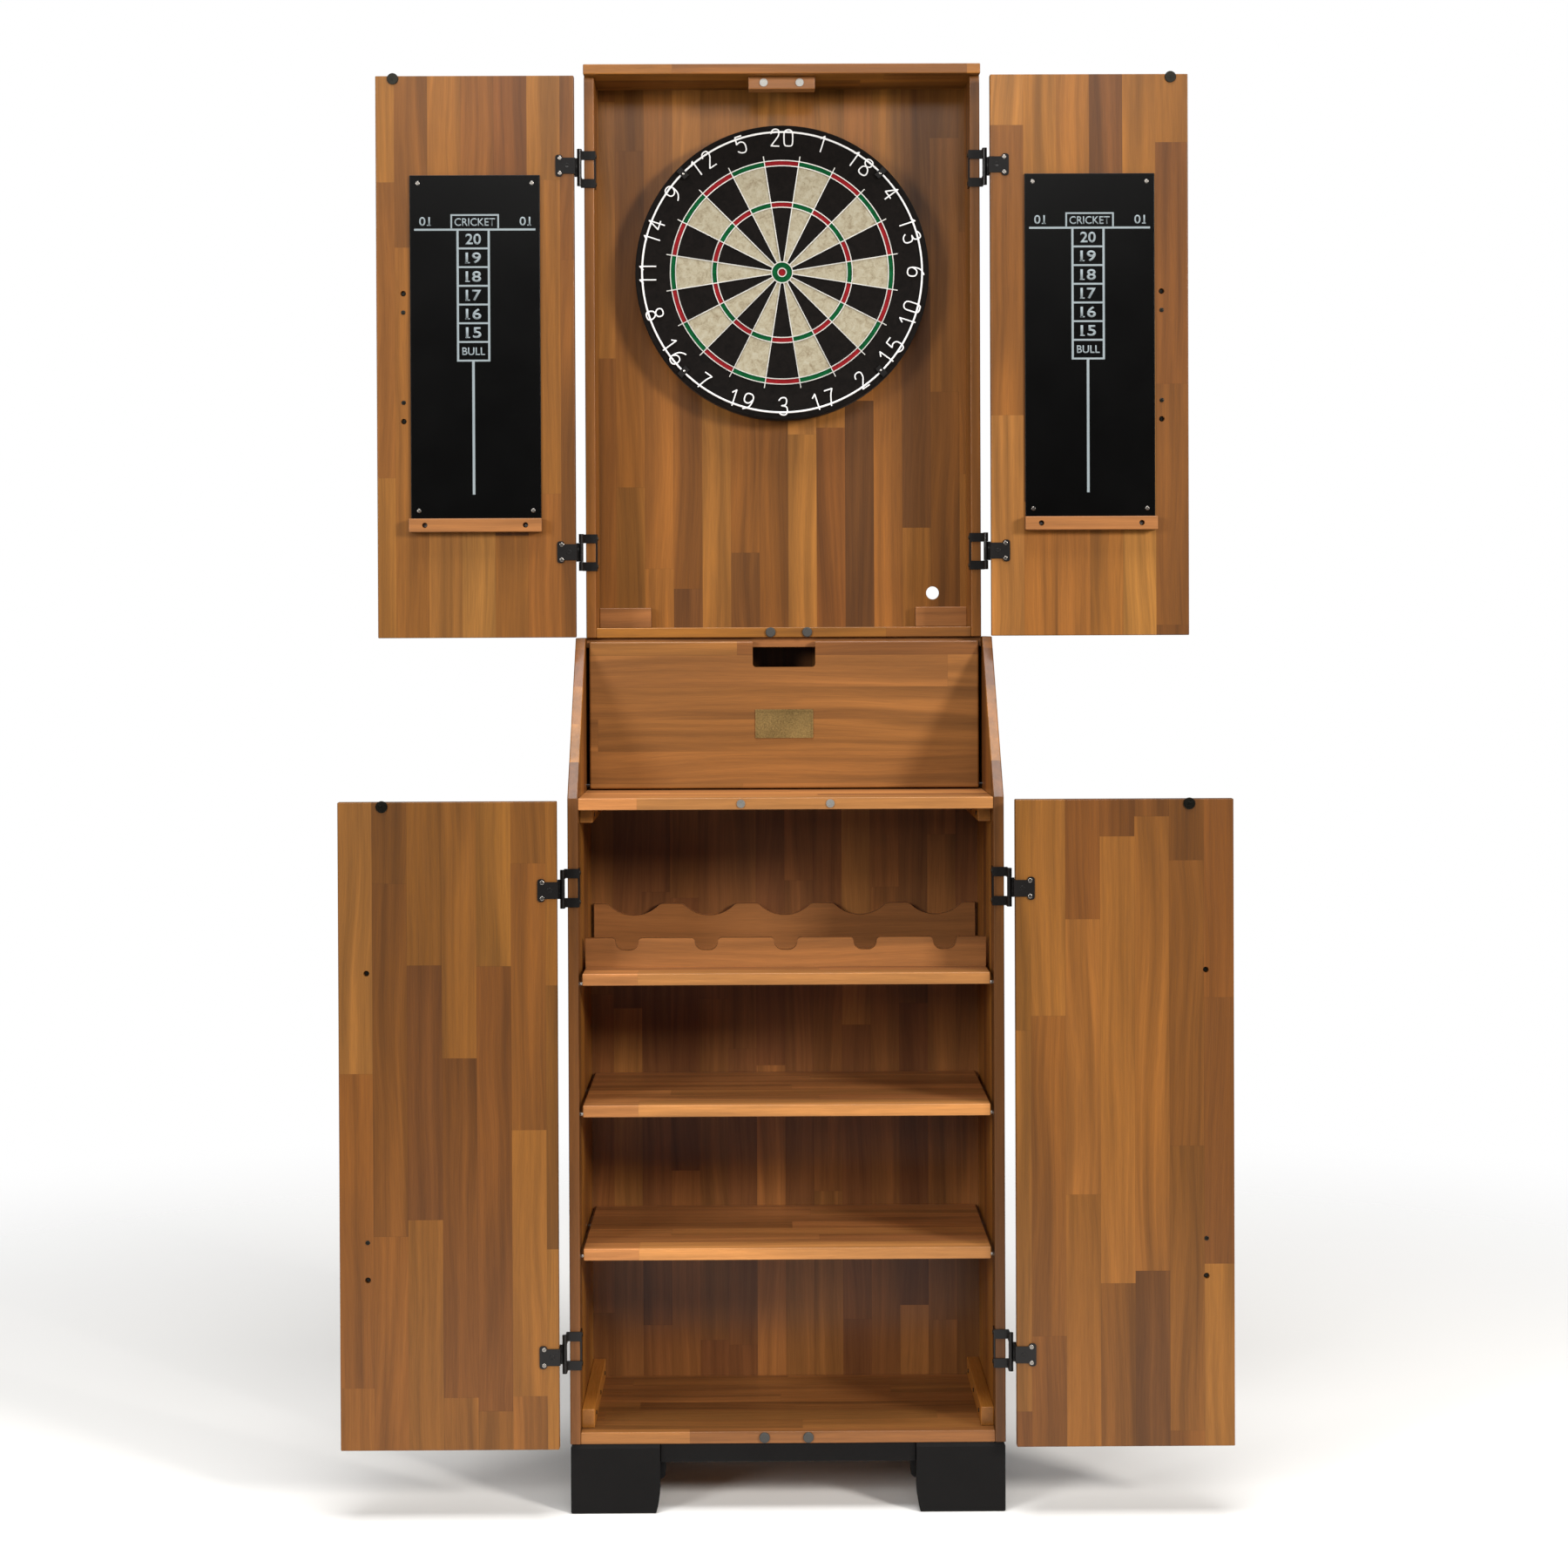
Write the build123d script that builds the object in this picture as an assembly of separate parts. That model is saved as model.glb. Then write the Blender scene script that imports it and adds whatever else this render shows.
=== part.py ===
from build123d import *
import math
import os

# Dart board cabinet on a wine cabinet.  Millimetres, +Z up, +Y towards the wall,
# +X to the right of someone who faces the open doors.  The origin is on the floor,
# at the middle of the whole piece with all four doors swung flat open.
os.makedirs("parts", exist_ok=True)

# ---- lower cabinet ---------------------------------------------------------------------
lower_width = 625.0
lower_depth = 320.0           # front edges to the front face of the back panel
side_t = 15.0
board_t = 17.0                # counter, shelves and bottom board
back_t = 8.0
base_height = 100.0
counter_height = 1027.0       # floor to the top of the counter
shelf_tops = (586.0, 380.0)   # middle and lower shelf
rack_shelf_top = 775.0
shelf_side_gap = 5.0
shelf_setback = 5.0
board_setback = 1.0           # counter and bottom board behind the front plane
ease = 1.5                    # rounding on the edges of the boards

# ---- upper cabinet ---------------------------------------------------------------------
upper_setback = 209.0         # upper front plane behind the lower one
upper_floor = 1256.0          # floor to the underside of the upper cabinet
upper_height = 856.0
upper_side_t = 15.0
upper_board_t = 15.0
wing_gap = 1.0                # upper cabinet to each wing of the lower sides
top_overhang = 20.0

# ---- doors and hinges ------------------------------------------------------------------
door_t = 16.0
door_gap = 3.0                # closed door to the front plane
door_inset = 1.0              # hinge edge inside the outer face of the side
door_meeting_gap = 2.0
lower_door_foot_gap = 3.0
lower_door_head_gap = 2.0
upper_door_foot_gap = 1.0
upper_door_head_gap = 5.0
hinge_out = 6.0               # hinge axis outside the side
hinge_proud = 1.0             # hinge axis in front of the closed door
hinge_t = 2.0
bracket_height = 55.0
arm_height = 13.3
bracket_reach = 22.0          # inner plate of the bracket, front to back
knuckle_r = 3.4
pin_r = 1.5
pin_play = 0.05
leaf_length = 27.5
leaf_height = 23.8
leaf_ear_height = 32.6
leaf_ear_width = 10.6
leaf_slot_height = 12.6
leaf_screw_in = 20.8          # door edge to the leaf screws
leaf_screw_pitch = 22.4
eye_play = 0.3                # leaf eye to the bracket knuckles, each end
lower_hinge_heights = (899.0, 235.0)
upper_hinge_heights = (1958.0, 1384.0)

# ---- pulls -----------------------------------------------------------------------------
pull_in = 40.0                # free edge of the door to the pull
pull_stand = 30.0             # door face to the middle of the grip
pull_grip_r = 5.5
pull_pad_width = 22.0
pull_pad_t = 3.0
pull_pad_end = 11.0           # pad past its outermost screw
pull_slope_run = 8.4          # rise of the grip from the pad, along the pull
pull_bend_r = 16.8
upper_pull_centre = 1674.0
upper_pull_outer = 95.0       # outer screws from the middle of the pull
upper_pull_inner = 67.0
upper_pull_inner_ends = (-1, 1)           # ends of the pull that take an inner screw, -1 the lower
lower_pull_outer = 218.0
lower_pull_inner = 164.5
lower_pull_inner_ends = (-1,)
counterbore_r = 4.2
counterbore_depth = 5.0

# ---- catches, bumpers and screws -------------------------------------------------------
catch_width = 100.0
catch_height = 19.0
catch_depth = 30.0
upper_magnet_x = 27.0
lower_magnet_x = 64.0
magnet_r = 6.0
magnet_depth = 6.0
magnet_proud = 0.7
strike_r = 8.4
strike_t = 2.0
bumper_r = 7.5
bumper_proud = 2.7
upper_bumper_x = (-20.0, 35.0)
lower_bumper_x = (-34.0, 29.0)
screw_head_r = 3.3
screw_head_h = 1.2
screw_shank_r = 1.6
screw_length = 12.0

# ---- scoreboards -----------------------------------------------------------------------
score_width = 193.5
score_height = 510.0
score_t = 4.0
score_bottom = 1434.0
score_screw_in = 12.0
score_ease = 1.0
ledge_width = 197.0
ledge_height = 20.0
ledge_depth = 22.0
ledge_hole_in = 24.0
ledge_hole_r = 4.0

# ---- drop flap and bin -----------------------------------------------------------------
flap_t = 15.0
flap_side_gap = 5.0
flap_foot_gap = 2.2
flap_height = 221.0
flap_pivot_in = 5.0           # pivot from the front face and from the bottom edge
flap_pin_r = 3.0
flap_pin_wing = 10.0
flap_pin_flap = 20.0
stop_play = 0.3
notch_width = 94.0
notch_depth = 39.0
notch_r = 5.0
nameplate_width = 87.0
nameplate_height = 43.0
nameplate_t = 1.5
nameplate_centre = 97.0       # above the bottom edge of the flap

# ---- dartboard -------------------------------------------------------------------------
bull_height = 1811.0
dart_r = 223.5
dart_face_t = 28.0
dart_ease = 2.0
dart_backing_t = 10.0
dart_wall_gap = 8.0           # back panel to the back of the board
double_r = (162.0, 170.0)
treble_r = (99.0, 107.0)
bull_r = (6.35, 15.9)
spoke_end = 178.0             # the spokes run on past the double ring
spider_wire = 1.4
spider_proud = 1.6
segments = 20
number_ring_r = 213.0
number_wire_r = 1.5
number_ring_proud = 2.2
clip_angle = 45.0
clip_length = 17.0
clip_width = 9.0
clip_t = 1.2
clip_play = 0.1
hanger_neck_r = 3.5
hanger_head_r = 7.0
hanger_head_t = 1.6
hanger_depth = 14.0
hanger_width = 46.0
hanger_height = 90.0
hanger_t = 2.0
hanger_flange = 16.0
hanger_bridge_stand = 6.5     # back panel to the front of the bridge
hanger_head_stand = 3.0       # back panel to the front of the bolt head
pad_r = 10.0
pad_circle_r = 185.0

# ---- wine rack, cleats, blocks ---------------------------------------------------------
rack_t = 15.0
rack_front_in = 85.0          # front edge to the front board of the rack
rack_front_height = 42.5
rack_rear_height = 72.0
bottle_pitch = 116.0
bottles = 5
neck_width = 34.0
neck_depth = 18.0
neck_bottom_r = 13.0
neck_shoulder_r = 5.0
body_r = 55.0
body_depth = 18.0
body_shoulder_r = 9.0
cleat_width = 19.0
counter_cleat_height = 20.5
counter_cleat_in = 42.0
bottom_cleat_height = 27.0
bottom_cleat_in = 25.0
cleat_screw_shares = (0.12, 0.5, 0.88)    # along the cleat from its front end
corner_block_size = (79.0, 20.0, 30.5)         # width, depth, height
cable_hole_r = 10.0
cable_hole_x = 230.0
cable_hole_z = 67.0           # above the underside of the upper cabinet
shelf_pin_r = 2.5
shelf_pin_side = 8.0
shelf_pin_under = 9.0
shelf_pin_in = 45.0

# ---- base ------------------------------------------------------------------------------
base_inset = 0.5
foot_width = 128.0
foot_t = 18.0
foot_taper = 6.0              # inner edge drawn in at the floor
foot_taper_height = 36.0
foot_ease = 3.0
base_bevel = 6.0
base_bevel_in = 2.5
rail_height = 28.0
rail_setback = 7.0
glue_block_t = 22.0
glue_block_proud = 7.0
glue_block_foot = 43.0
glue_block_r = 8.0

# ---- places worked out from the sizes above --------------------------------------------
hinge_forward = door_gap + door_t + hinge_proud
open_stand = 2 * hinge_forward - door_gap + hinge_t + screw_head_h
front = (open_stand - lower_depth - back_t) / 2
back_face = front + lower_depth
rear = back_face + back_t
upper_front = front + upper_setback
half_lower = lower_width / 2
half_inner = half_lower - side_t
upper_width = lower_width - 2 * side_t - 2 * wing_gap
half_upper = upper_width / 2
half_upper_inner = half_upper - upper_side_t
upper_top_z = upper_floor + upper_height
upper_ceiling = upper_top_z - upper_board_t
bottom_top = base_height + board_t
counter_underside = counter_height - board_t
flap_foot = counter_height + flap_foot_gap
flap_half = half_inner - flap_side_gap
flap_pivot_y = upper_front + flap_pivot_in
flap_pivot_z = flap_foot + flap_pivot_in
catch_foot = upper_ceiling - catch_height
shelf_half = half_inner - shelf_side_gap
base_half = half_lower - base_inset
dart_back = back_face - dart_wall_gap
dart_seam = dart_back - dart_backing_t
dart_front = dart_seam - dart_face_t


# ---- helpers ---------------------------------------------------------------------------
def block(x0, x1, y0, y1, z0, z1, round_over=0.0):
    """A board between two corners, with all of its edges eased if asked."""
    size = Box(x1 - x0, y1 - y0, z1 - z0)
    board = Pos((x0 + x1) / 2, (y0 + y1) / 2, (z0 + z1) / 2) * size
    return fillet(board.edges(), round_over) if round_over else board


def rod(radius, start, end, centre_a, centre_b, axis):
    """A round bar along X, Y or Z between two values of that axis."""
    middle = (start + end) / 2
    length = abs(end - start)
    if axis == "X":
        return Pos(middle, centre_a, centre_b) * Rot(0, 90, 0) * Cylinder(radius, length)
    if axis == "Y":
        return Pos(centre_a, middle, centre_b) * Rot(90, 0, 0) * Cylinder(radius, length)
    return Pos(centre_a, centre_b, middle) * Cylinder(radius, length)


def screw_y(x, y, z, into, head_r=screw_head_r, length=screw_length):
    """A pan-head screw along Y: its head rests on the plane y and it drives towards into."""
    head = rod(head_r, y - into * screw_head_h, y, x, z, "Y")
    far_edge = head.edges().sort_by(Axis.Y)
    crown = far_edge[0] if into > 0 else far_edge[-1]
    head = fillet(crown, screw_head_h * 0.7)
    return head + rod(screw_shank_r, y, y + into * length, x, z, "Y")


def screw_x(x, y, z, length=screw_length):
    """A flat-topped screw along X, driven outwards into the right-hand side: head under the plane x."""
    head = rod(screw_head_r, x - screw_head_h, x, y, z, "X")
    return head + rod(screw_shank_r, x, x + length, y, z, "X")


def cut_all(body, tools):
    """Take each tool's volume out of the body."""
    for tool in tools:
        body = body - tool
    return body


def left_of(piece):
    """The mirror image of a piece on the left side."""
    return mirror(piece, about=Plane.YZ)


def both(piece):
    return [left_of(piece), piece]


def solids_of(pieces):
    found = []
    for piece in pieces:
        found.extend(piece.solids())
    return found


def save(name, *pieces):
    """One STEP file per sub-part, holding each piece as its own solid."""
    solids = solids_of(pieces)
    whole = solids[0] if len(solids) == 1 else Compound(children=solids)
    whole.label = name
    export_step(whole, f"parts/{name}.step")


# ---- lower carcass ---------------------------------------------------------------------
def lower_side():
    """Side panel whose top slants back to the upper cabinet as a wing."""
    outline = Polyline(
        (front, base_height),
        (front, counter_height),
        (upper_front, upper_floor),
        (back_face, upper_floor),
        (back_face, base_height),
        close=True,
    )
    panel = extrude(Plane.YZ.offset(half_inner) * make_face(outline), side_t)
    panel = fillet(panel.edges(), ease)
    socket = rod(flap_pin_r, half_inner, half_inner + flap_pin_wing, flap_pivot_y, flap_pivot_z, "X")
    pins = [shelf_pin(y, top) for top in (rack_shelf_top,) + shelf_tops for y in shelf_pin_rows()]
    return cut_all(panel, [socket] + pins + bracket_screws(lower_hinges()) + cleat_screws())


def shelf_pin_rows():
    return (front + shelf_setback + shelf_pin_in, back_face - shelf_pin_in)


def shelf_pin(y, top):
    """Support pin in the side panel under one end of a shelf."""
    inner_end = half_inner - shelf_side_gap - shelf_pin_under
    return rod(shelf_pin_r, inner_end, half_inner + shelf_pin_side, y, top - board_t - shelf_pin_r, "X")


def shelf(top):
    return block(-shelf_half, shelf_half, front + shelf_setback, back_face, top - board_t, top, ease)


def cross_board(top, thickness=board_t):
    """A board from side to side of the lower cabinet."""
    return block(-half_inner, half_inner, front + board_setback, back_face, top - thickness, top, ease)


def counter():
    magnets = [magnet(x, front + board_setback, counter_height - board_t / 2)
               for x in (-lower_magnet_x, lower_magnet_x)]
    return cut_all(cross_board(counter_height), magnets)


def counter_cleat():
    return block(half_inner - cleat_width, half_inner, front + counter_cleat_in, back_face,
                 counter_underside - counter_cleat_height, counter_underside, ease)


def bottom_cleat():
    return block(half_inner - cleat_width, half_inner, front + bottom_cleat_in, back_face,
                 bottom_top, bottom_top + bottom_cleat_height, ease)


def cleat_screws():
    """Screws through the cleats into the right side panel."""
    places = []
    for first, height in ((counter_cleat_in, counter_underside - counter_cleat_height / 2),
                          (bottom_cleat_in, bottom_top + bottom_cleat_height / 2)):
        run = lower_depth - first
        places.extend((front + first + run * share, height) for share in cleat_screw_shares)
    return [screw_x(half_inner - cleat_width, y, z, cleat_width + side_t / 2) for y, z in places]


def bin_top():
    """Board between the wings: the roof of the bin, the stop of the flap, the upper cabinet's seat."""
    return block(-half_inner, half_inner, upper_front + flap_t + stop_play, back_face,
                 upper_floor - upper_board_t, upper_floor, ease)


def rack_profile_plate(height, y):
    """Blank of a wine-rack board, standing on the rack shelf."""
    return Plane(origin=(0, y, rack_shelf_top + height / 2), z_dir=(0, -1, 0), x_dir=(1, 0, 0))


def bottle_places():
    return [(i - (bottles - 1) / 2) * bottle_pitch for i in range(bottles)]


def rack_front():
    """Front board with a U notch for each bottle neck."""
    outline = Rectangle(2 * shelf_half, rack_front_height)
    for x in bottle_places():
        outline -= Pos(x, rack_front_height / 2 - neck_depth / 2) * Rectangle(neck_width, neck_depth)
    top = rack_front_height / 2
    inner_end = shelf_half - neck_shoulder_r
    bottoms = [v for v in outline.vertices() if abs(v.Y - top + neck_depth) < 0.01]
    outline = fillet(bottoms, neck_bottom_r)
    shoulders = [v for v in outline.vertices() if abs(v.Y - top) < 0.01 and abs(v.X) < inner_end]
    outline = fillet(shoulders, neck_shoulder_r)
    plane = rack_profile_plate(rack_front_height, front + rack_front_in + rack_t)
    return extrude(plane * outline, rack_t)


def rack_rear():
    """Rear board with a wide scallop for each bottle body."""
    outline = Rectangle(2 * shelf_half, rack_rear_height)
    top = rack_rear_height / 2
    for x in bottle_places():
        outline -= Pos(x, top + body_r - body_depth) * Circle(body_r)
    inner_end = shelf_half - body_shoulder_r
    shoulders = [v for v in outline.vertices() if abs(v.Y - top) < 0.01 and abs(v.X) < inner_end]
    outline = fillet(shoulders, body_shoulder_r)
    return extrude(rack_profile_plate(rack_rear_height, back_face) * outline, rack_t)


# ---- base ------------------------------------------------------------------------------
def foot_board(width):
    """One face of a bracket foot, drawn in at the floor, seen from outside; its corner is at x = 0."""
    foot_line = width - foot_taper
    edge = Polyline((0, 0), (foot_line, 0))
    sweep_in = ThreePointArc((foot_line, 0), (width - foot_taper * 0.25, foot_taper_height * 0.55),
                             (width, foot_taper_height))
    rest = Polyline((width, foot_taper_height), (width, base_height), (0, base_height), (0, 0))
    return make_face(edge + sweep_in + rest)


def foot_leg(corner_y, depth_sign):
    """An L of two boards at a right-hand corner of the base."""
    face_y = corner_y + (foot_t if depth_sign > 0 else 0)
    across = Plane(origin=(base_half, face_y, 0), x_dir=(-1, 0, 0), z_dir=(0, 1, 0))
    across_board = extrude(across * foot_board(foot_width), -foot_t)
    along = Plane(origin=(base_half, corner_y, 0), x_dir=(0, depth_sign, 0), z_dir=(depth_sign, 0, 0))
    along_board = extrude(along * foot_board(foot_width), -depth_sign * foot_t)
    leg = across_board + along_board
    outer = [e for e in leg.edges() if e.center().Z < 0.01 and
             (abs(e.center().X - base_half) < 0.01 or abs(e.center().Y - corner_y) < 0.01)]
    outer += [e for e in leg.edges().filter_by(Axis.Z)
              if abs(e.center().X - base_half) < 0.01 and abs(e.center().Y - corner_y) < 0.01]
    return fillet(outer, foot_ease)


def bevel_frame():
    """Wedge-sided ring that takes the bevel off the top outer edges of the base."""
    clear = base_bevel_in
    foot = base_height - base_bevel
    outer = block(-base_half - clear, base_half + clear, front - clear, rear + clear, foot, base_height)
    width, depth = 2 * base_half, rear - front
    middle = Pos(0, (front + rear) / 2)
    low = Plane.XY.offset(foot) * middle * Rectangle(width, depth)
    high = Plane.XY.offset(base_height) * middle * Rectangle(width - 2 * base_bevel_in,
                                                            depth - 2 * base_bevel_in)
    return outer - loft([low, high])


def glue_block(corner_y, depth_sign):
    """Block behind the foot that also carries the end of the rail."""
    x1 = base_half - foot_t
    x0 = base_half - foot_width - glue_block_proud
    face = corner_y + depth_sign * (rail_setback + foot_t)
    y0, y1 = sorted((face, face + depth_sign * glue_block_t))
    body = block(x0, x1, y0, y1, glue_block_foot, base_height)
    lower_inner = [e for e in body.edges().filter_by(Axis.Y)
                   if abs(e.center().X - x0) < 0.01 and abs(e.center().Z - glue_block_foot) < 0.01]
    return fillet(lower_inner, glue_block_r)


def foot_parts():
    """Front and rear foot of the right-hand side, each with its glue block."""
    bevel = bevel_frame()
    parts = []
    for corner_y, sign in ((front, 1), (rear, -1)):
        parts.append(foot_leg(corner_y, sign) - bevel)
        parts.append(glue_block(corner_y, sign))
    return parts


def cross_rail(corner_y, depth_sign):
    """Rail between the feet at the front or at the rear, standing back from their faces."""
    half = base_half - foot_width
    face = corner_y + depth_sign * rail_setback
    y0, y1 = sorted((face, face + depth_sign * foot_t))
    return block(-half, half, y0, y1, base_height - rail_height, base_height, ease)


def side_rail():
    x1 = base_half - rail_setback
    return block(x1 - foot_t, x1, front + foot_width, rear - foot_width, base_height - rail_height,
                 base_height, ease)


# ---- upper carcass ---------------------------------------------------------------------
def upper_side():
    panel = block(half_upper_inner, half_upper, upper_front, back_face, upper_floor, upper_ceiling, ease)
    return cut_all(panel, bracket_screws(upper_hinges()))


def upper_top():
    return block(-half_upper, half_upper, upper_front - top_overhang, rear, upper_ceiling, upper_top_z,
                 ease)


def upper_bottom():
    return block(-half_upper_inner, half_upper_inner, upper_front + board_setback, back_face,
                 upper_floor, upper_floor + upper_board_t, ease)


def upper_back():
    panel = block(-half_upper, half_upper, back_face, rear, upper_floor, upper_ceiling)
    hole = rod(cable_hole_r, back_face, rear, cable_hole_x, upper_floor + cable_hole_z, "Y")
    return cut_all(panel, [hole] + hanger_screws())


def lower_back():
    return block(-half_lower, half_lower, back_face, rear, base_height, upper_floor)


def back_corner_block():
    width, depth, height = corner_block_size
    foot = upper_floor + upper_board_t
    return block(half_upper_inner - width, half_upper_inner, back_face - depth, back_face, foot,
                 foot + height, ease)


def catch_bar():
    """Block under the top board that holds the magnets of the upper doors."""
    bar = block(-catch_width / 2, catch_width / 2, upper_front + board_setback,
                upper_front + board_setback + catch_depth, catch_foot, upper_ceiling, ease)
    magnets = [magnet(x, upper_front + board_setback, catch_foot + catch_height / 2)
               for x in (-upper_magnet_x, upper_magnet_x)]
    return cut_all(bar, magnets)


def magnet(x, face, z):
    """Disc magnet sunk in a front edge and standing a little proud of the front plane."""
    lip = face - board_setback - magnet_proud
    return rod(magnet_r, lip, face + magnet_depth, x, z, "Y")


def bumper(x, plane, z):
    """Rubber dome stuck on a front edge, just short of the closed door."""
    face = plane + board_setback
    foot = rod(bumper_r, plane - bumper_proud, face, x, z, "Y")
    return fillet(foot.edges().sort_by(Axis.Y)[0], bumper_proud * 0.6)


# ---- hinges ----------------------------------------------------------------------------
# Each hinge is given as (outer face x, front plane y, height), for the right-hand side.
def lower_hinges():
    return [(half_lower, side_t, front, z) for z in lower_hinge_heights]


def upper_hinges():
    return [(half_upper, upper_side_t, upper_front, z) for z in upper_hinge_heights]


def bracket(outer, thickness, plane, z):
    """U bracket: plate inside the side, two arms round its front edge, two knuckles outside."""
    inner = outer - thickness
    axis_x = outer + hinge_out
    axis_y = plane - hinge_forward
    half = bracket_height / 2
    part = block(inner - hinge_t, inner, plane, plane + bracket_reach, z - half, z + half)
    for sign in (-1, 1):
        z0, z1 = sorted((z + sign * half, z + sign * (half - arm_height)))
        leg_x = axis_x - knuckle_r
        arm = block(inner - hinge_t, leg_x + hinge_t, plane - hinge_t, plane, z0, z1)
        leg = block(leg_x, leg_x + hinge_t, axis_y, plane - hinge_t, z0, z1)
        part = part + arm + leg + rod(knuckle_r, z0, z1, axis_x, axis_y, "Z")
    part = part - rod(pin_r, z - half, z + half, axis_x, axis_y, "Z")
    return cut_all(part, bracket_screws([(outer, thickness, plane, z)]))


def bracket_screws(hinges):
    """Two screws per bracket, through its plate into the side panel."""
    screws = []
    for outer, thickness, plane, z in hinges:
        for sign in (-1, 1):
            height = z + sign * (bracket_height - arm_height) / 2
            screws.append(screw_x(outer - thickness - hinge_t, plane + bracket_reach / 2, height))
    return screws


def hinge_pin(outer, thickness, plane, z):
    half = bracket_height / 2
    return rod(pin_r, z - half, z + half, outer + hinge_out, plane - hinge_forward, "Z")


def leaf(outer, thickness, plane, z):
    """Door leaf in its closed place: plate on the inner face, leg round the edge, slotted web, eye."""
    axis_x = outer + hinge_out
    axis_y = plane - hinge_forward
    edge = outer - door_inset
    inner_face = plane - door_gap
    half = leaf_height / 2
    plate = block(edge - leaf_length, edge + hinge_t, inner_face, inner_face + hinge_t, z - half, z + half)
    ear = block(edge - leaf_length, edge - leaf_length + leaf_ear_width, inner_face, inner_face + hinge_t,
                z - leaf_ear_height / 2, z + leaf_ear_height / 2)
    ear = fillet(ear.edges().filter_by(Axis.Y), leaf_ear_width * 0.4)
    leg = block(edge, edge + hinge_t, axis_y - hinge_t / 2, inner_face + hinge_t, z - half, z + half)
    eye_half = bracket_height / 2 - arm_height - eye_play
    web = block(edge, axis_x, axis_y - hinge_t / 2, axis_y + hinge_t / 2, z - eye_half, z + eye_half)
    slot = block(edge + hinge_t, axis_x - knuckle_r, axis_y - hinge_t, axis_y + hinge_t,
                 z - leaf_slot_height / 2, z + leaf_slot_height / 2)
    eye = rod(knuckle_r, z - eye_half, z + eye_half, axis_x, axis_y, "Z")
    part = plate + ear + leg + (web - slot) + eye
    return part - rod(pin_r + pin_play, z - eye_half, z + eye_half, axis_x, axis_y, "Z")


def leaf_screws(outer, plane, z):
    """Two pan-head screws in the ears of a leaf, driven into the door."""
    x = outer - door_inset - leaf_screw_in
    face = plane - door_gap + hinge_t
    return [screw_y(x, face, z + sign * leaf_screw_pitch / 2, -1) for sign in (-1, 1)]


# ---- doors, closed, right-hand side ----------------------------------------------------
class Door:
    """Sizes and places of one right-hand door and what is fixed to it, in the closed position."""

    def __init__(self, outer, plane, foot, head, hinges, magnet_x, magnet_z, pull_centre, pull_screws,
                 inner_ends):
        self.outer = outer
        self.plane = plane
        self.foot = foot
        self.head = head
        self.hinges = hinges
        self.magnet_x = magnet_x
        self.magnet_z = magnet_z
        self.pull_centre = pull_centre
        self.pull_outer, self.pull_inner = pull_screws
        self.inner_ends = inner_ends
        self.free_edge = door_meeting_gap / 2
        self.hinge_edge = outer - door_inset
        self.inner = plane - door_gap
        self.face = self.inner - door_t
        self.pull_x = self.free_edge + pull_in

    def pull_heights(self, reach):
        return [self.pull_centre - reach, self.pull_centre + reach]

    def pull_fixings(self):
        """Screws from inside the door into the pads of the pull; the outer two are counterbored."""
        length = door_t + pull_pad_t
        surface = [screw_y(self.pull_x, self.inner, self.pull_centre + end * self.pull_inner, -1,
                           length=length) for end in self.inner_ends]
        bottom = self.inner - counterbore_depth
        sunk = [screw_y(self.pull_x, bottom, z, -1, length=length - counterbore_depth)
                for z in self.pull_heights(self.pull_outer)]
        return surface + sunk

    def strike_screw(self):
        return screw_y(self.magnet_x, self.inner + strike_t - screw_head_h, self.magnet_z, -1,
                       head_r=screw_head_r)

    def strike(self):
        """Steel disc that meets the magnet, with its screw sunk in it."""
        disc = rod(strike_r, self.inner, self.inner + strike_t, self.magnet_x, self.magnet_z, "Y")
        disc = chamfer(disc.edges().sort_by(Axis.Y)[-1], 0.5)
        return disc - self.strike_screw()

    def screws(self):
        found = self.pull_fixings() + [self.strike_screw()]
        for outer, _, plane, z in self.hinges:
            found.extend(leaf_screws(outer, plane, z))
        return found

    def leaves(self):
        fixed = []
        for hinge in self.hinges:
            fixed.append(cut_all(leaf(*hinge), leaf_screws(hinge[0], hinge[2], hinge[3])))
        return fixed

    def panel(self, more_screws=()):
        panel = block(self.free_edge, self.hinge_edge, self.face, self.inner, self.foot, self.head, ease)
        bores = [rod(counterbore_r, self.inner - counterbore_depth, self.inner, self.pull_x, z, "Y")
                 for z in self.pull_heights(self.pull_outer)]
        return cut_all(panel, bores + self.screws() + list(more_screws))

    def pull(self):
        """Iron pull on the outer face: a pad at each end and a bowed round grip."""
        part = None
        for sign in (-1, 1):
            z0, z1 = sorted((self.pull_centre + sign * (self.pull_outer + pull_pad_end),
                             self.pull_centre + sign * (self.pull_inner - pull_pad_end)))
            pad = block(self.pull_x - pull_pad_width / 2, self.pull_x + pull_pad_width / 2,
                        self.face - pull_pad_t, self.face, z0, z1)
            corners = pad.edges().filter_by(Axis.Y)
            pad = fillet(corners, pull_pad_width * 0.3)
            part = pad if part is None else part + pad
        root = (self.pull_outer + self.pull_inner) / 2
        start_y = self.face - pull_pad_t / 2
        grip_y = self.face - pull_stand
        path = FilletPolyline(
            (self.pull_x, start_y, self.pull_centre - root),
            (self.pull_x, grip_y, self.pull_centre - root + pull_slope_run),
            (self.pull_x, grip_y, self.pull_centre + root - pull_slope_run),
            (self.pull_x, start_y, self.pull_centre + root),
            radius=pull_bend_r,
        )
        grip = sweep(Plane(origin=path @ 0, z_dir=path % 0) * Circle(pull_grip_r), path=path)
        stub = block(self.pull_x - pull_pad_width, self.pull_x + pull_pad_width, start_y,
                     self.face + pull_stand, self.pull_centre - 2 * root, self.pull_centre + 2 * root)
        part = part + (grip - stub)
        return cut_all(part, self.pull_fixings())


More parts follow.
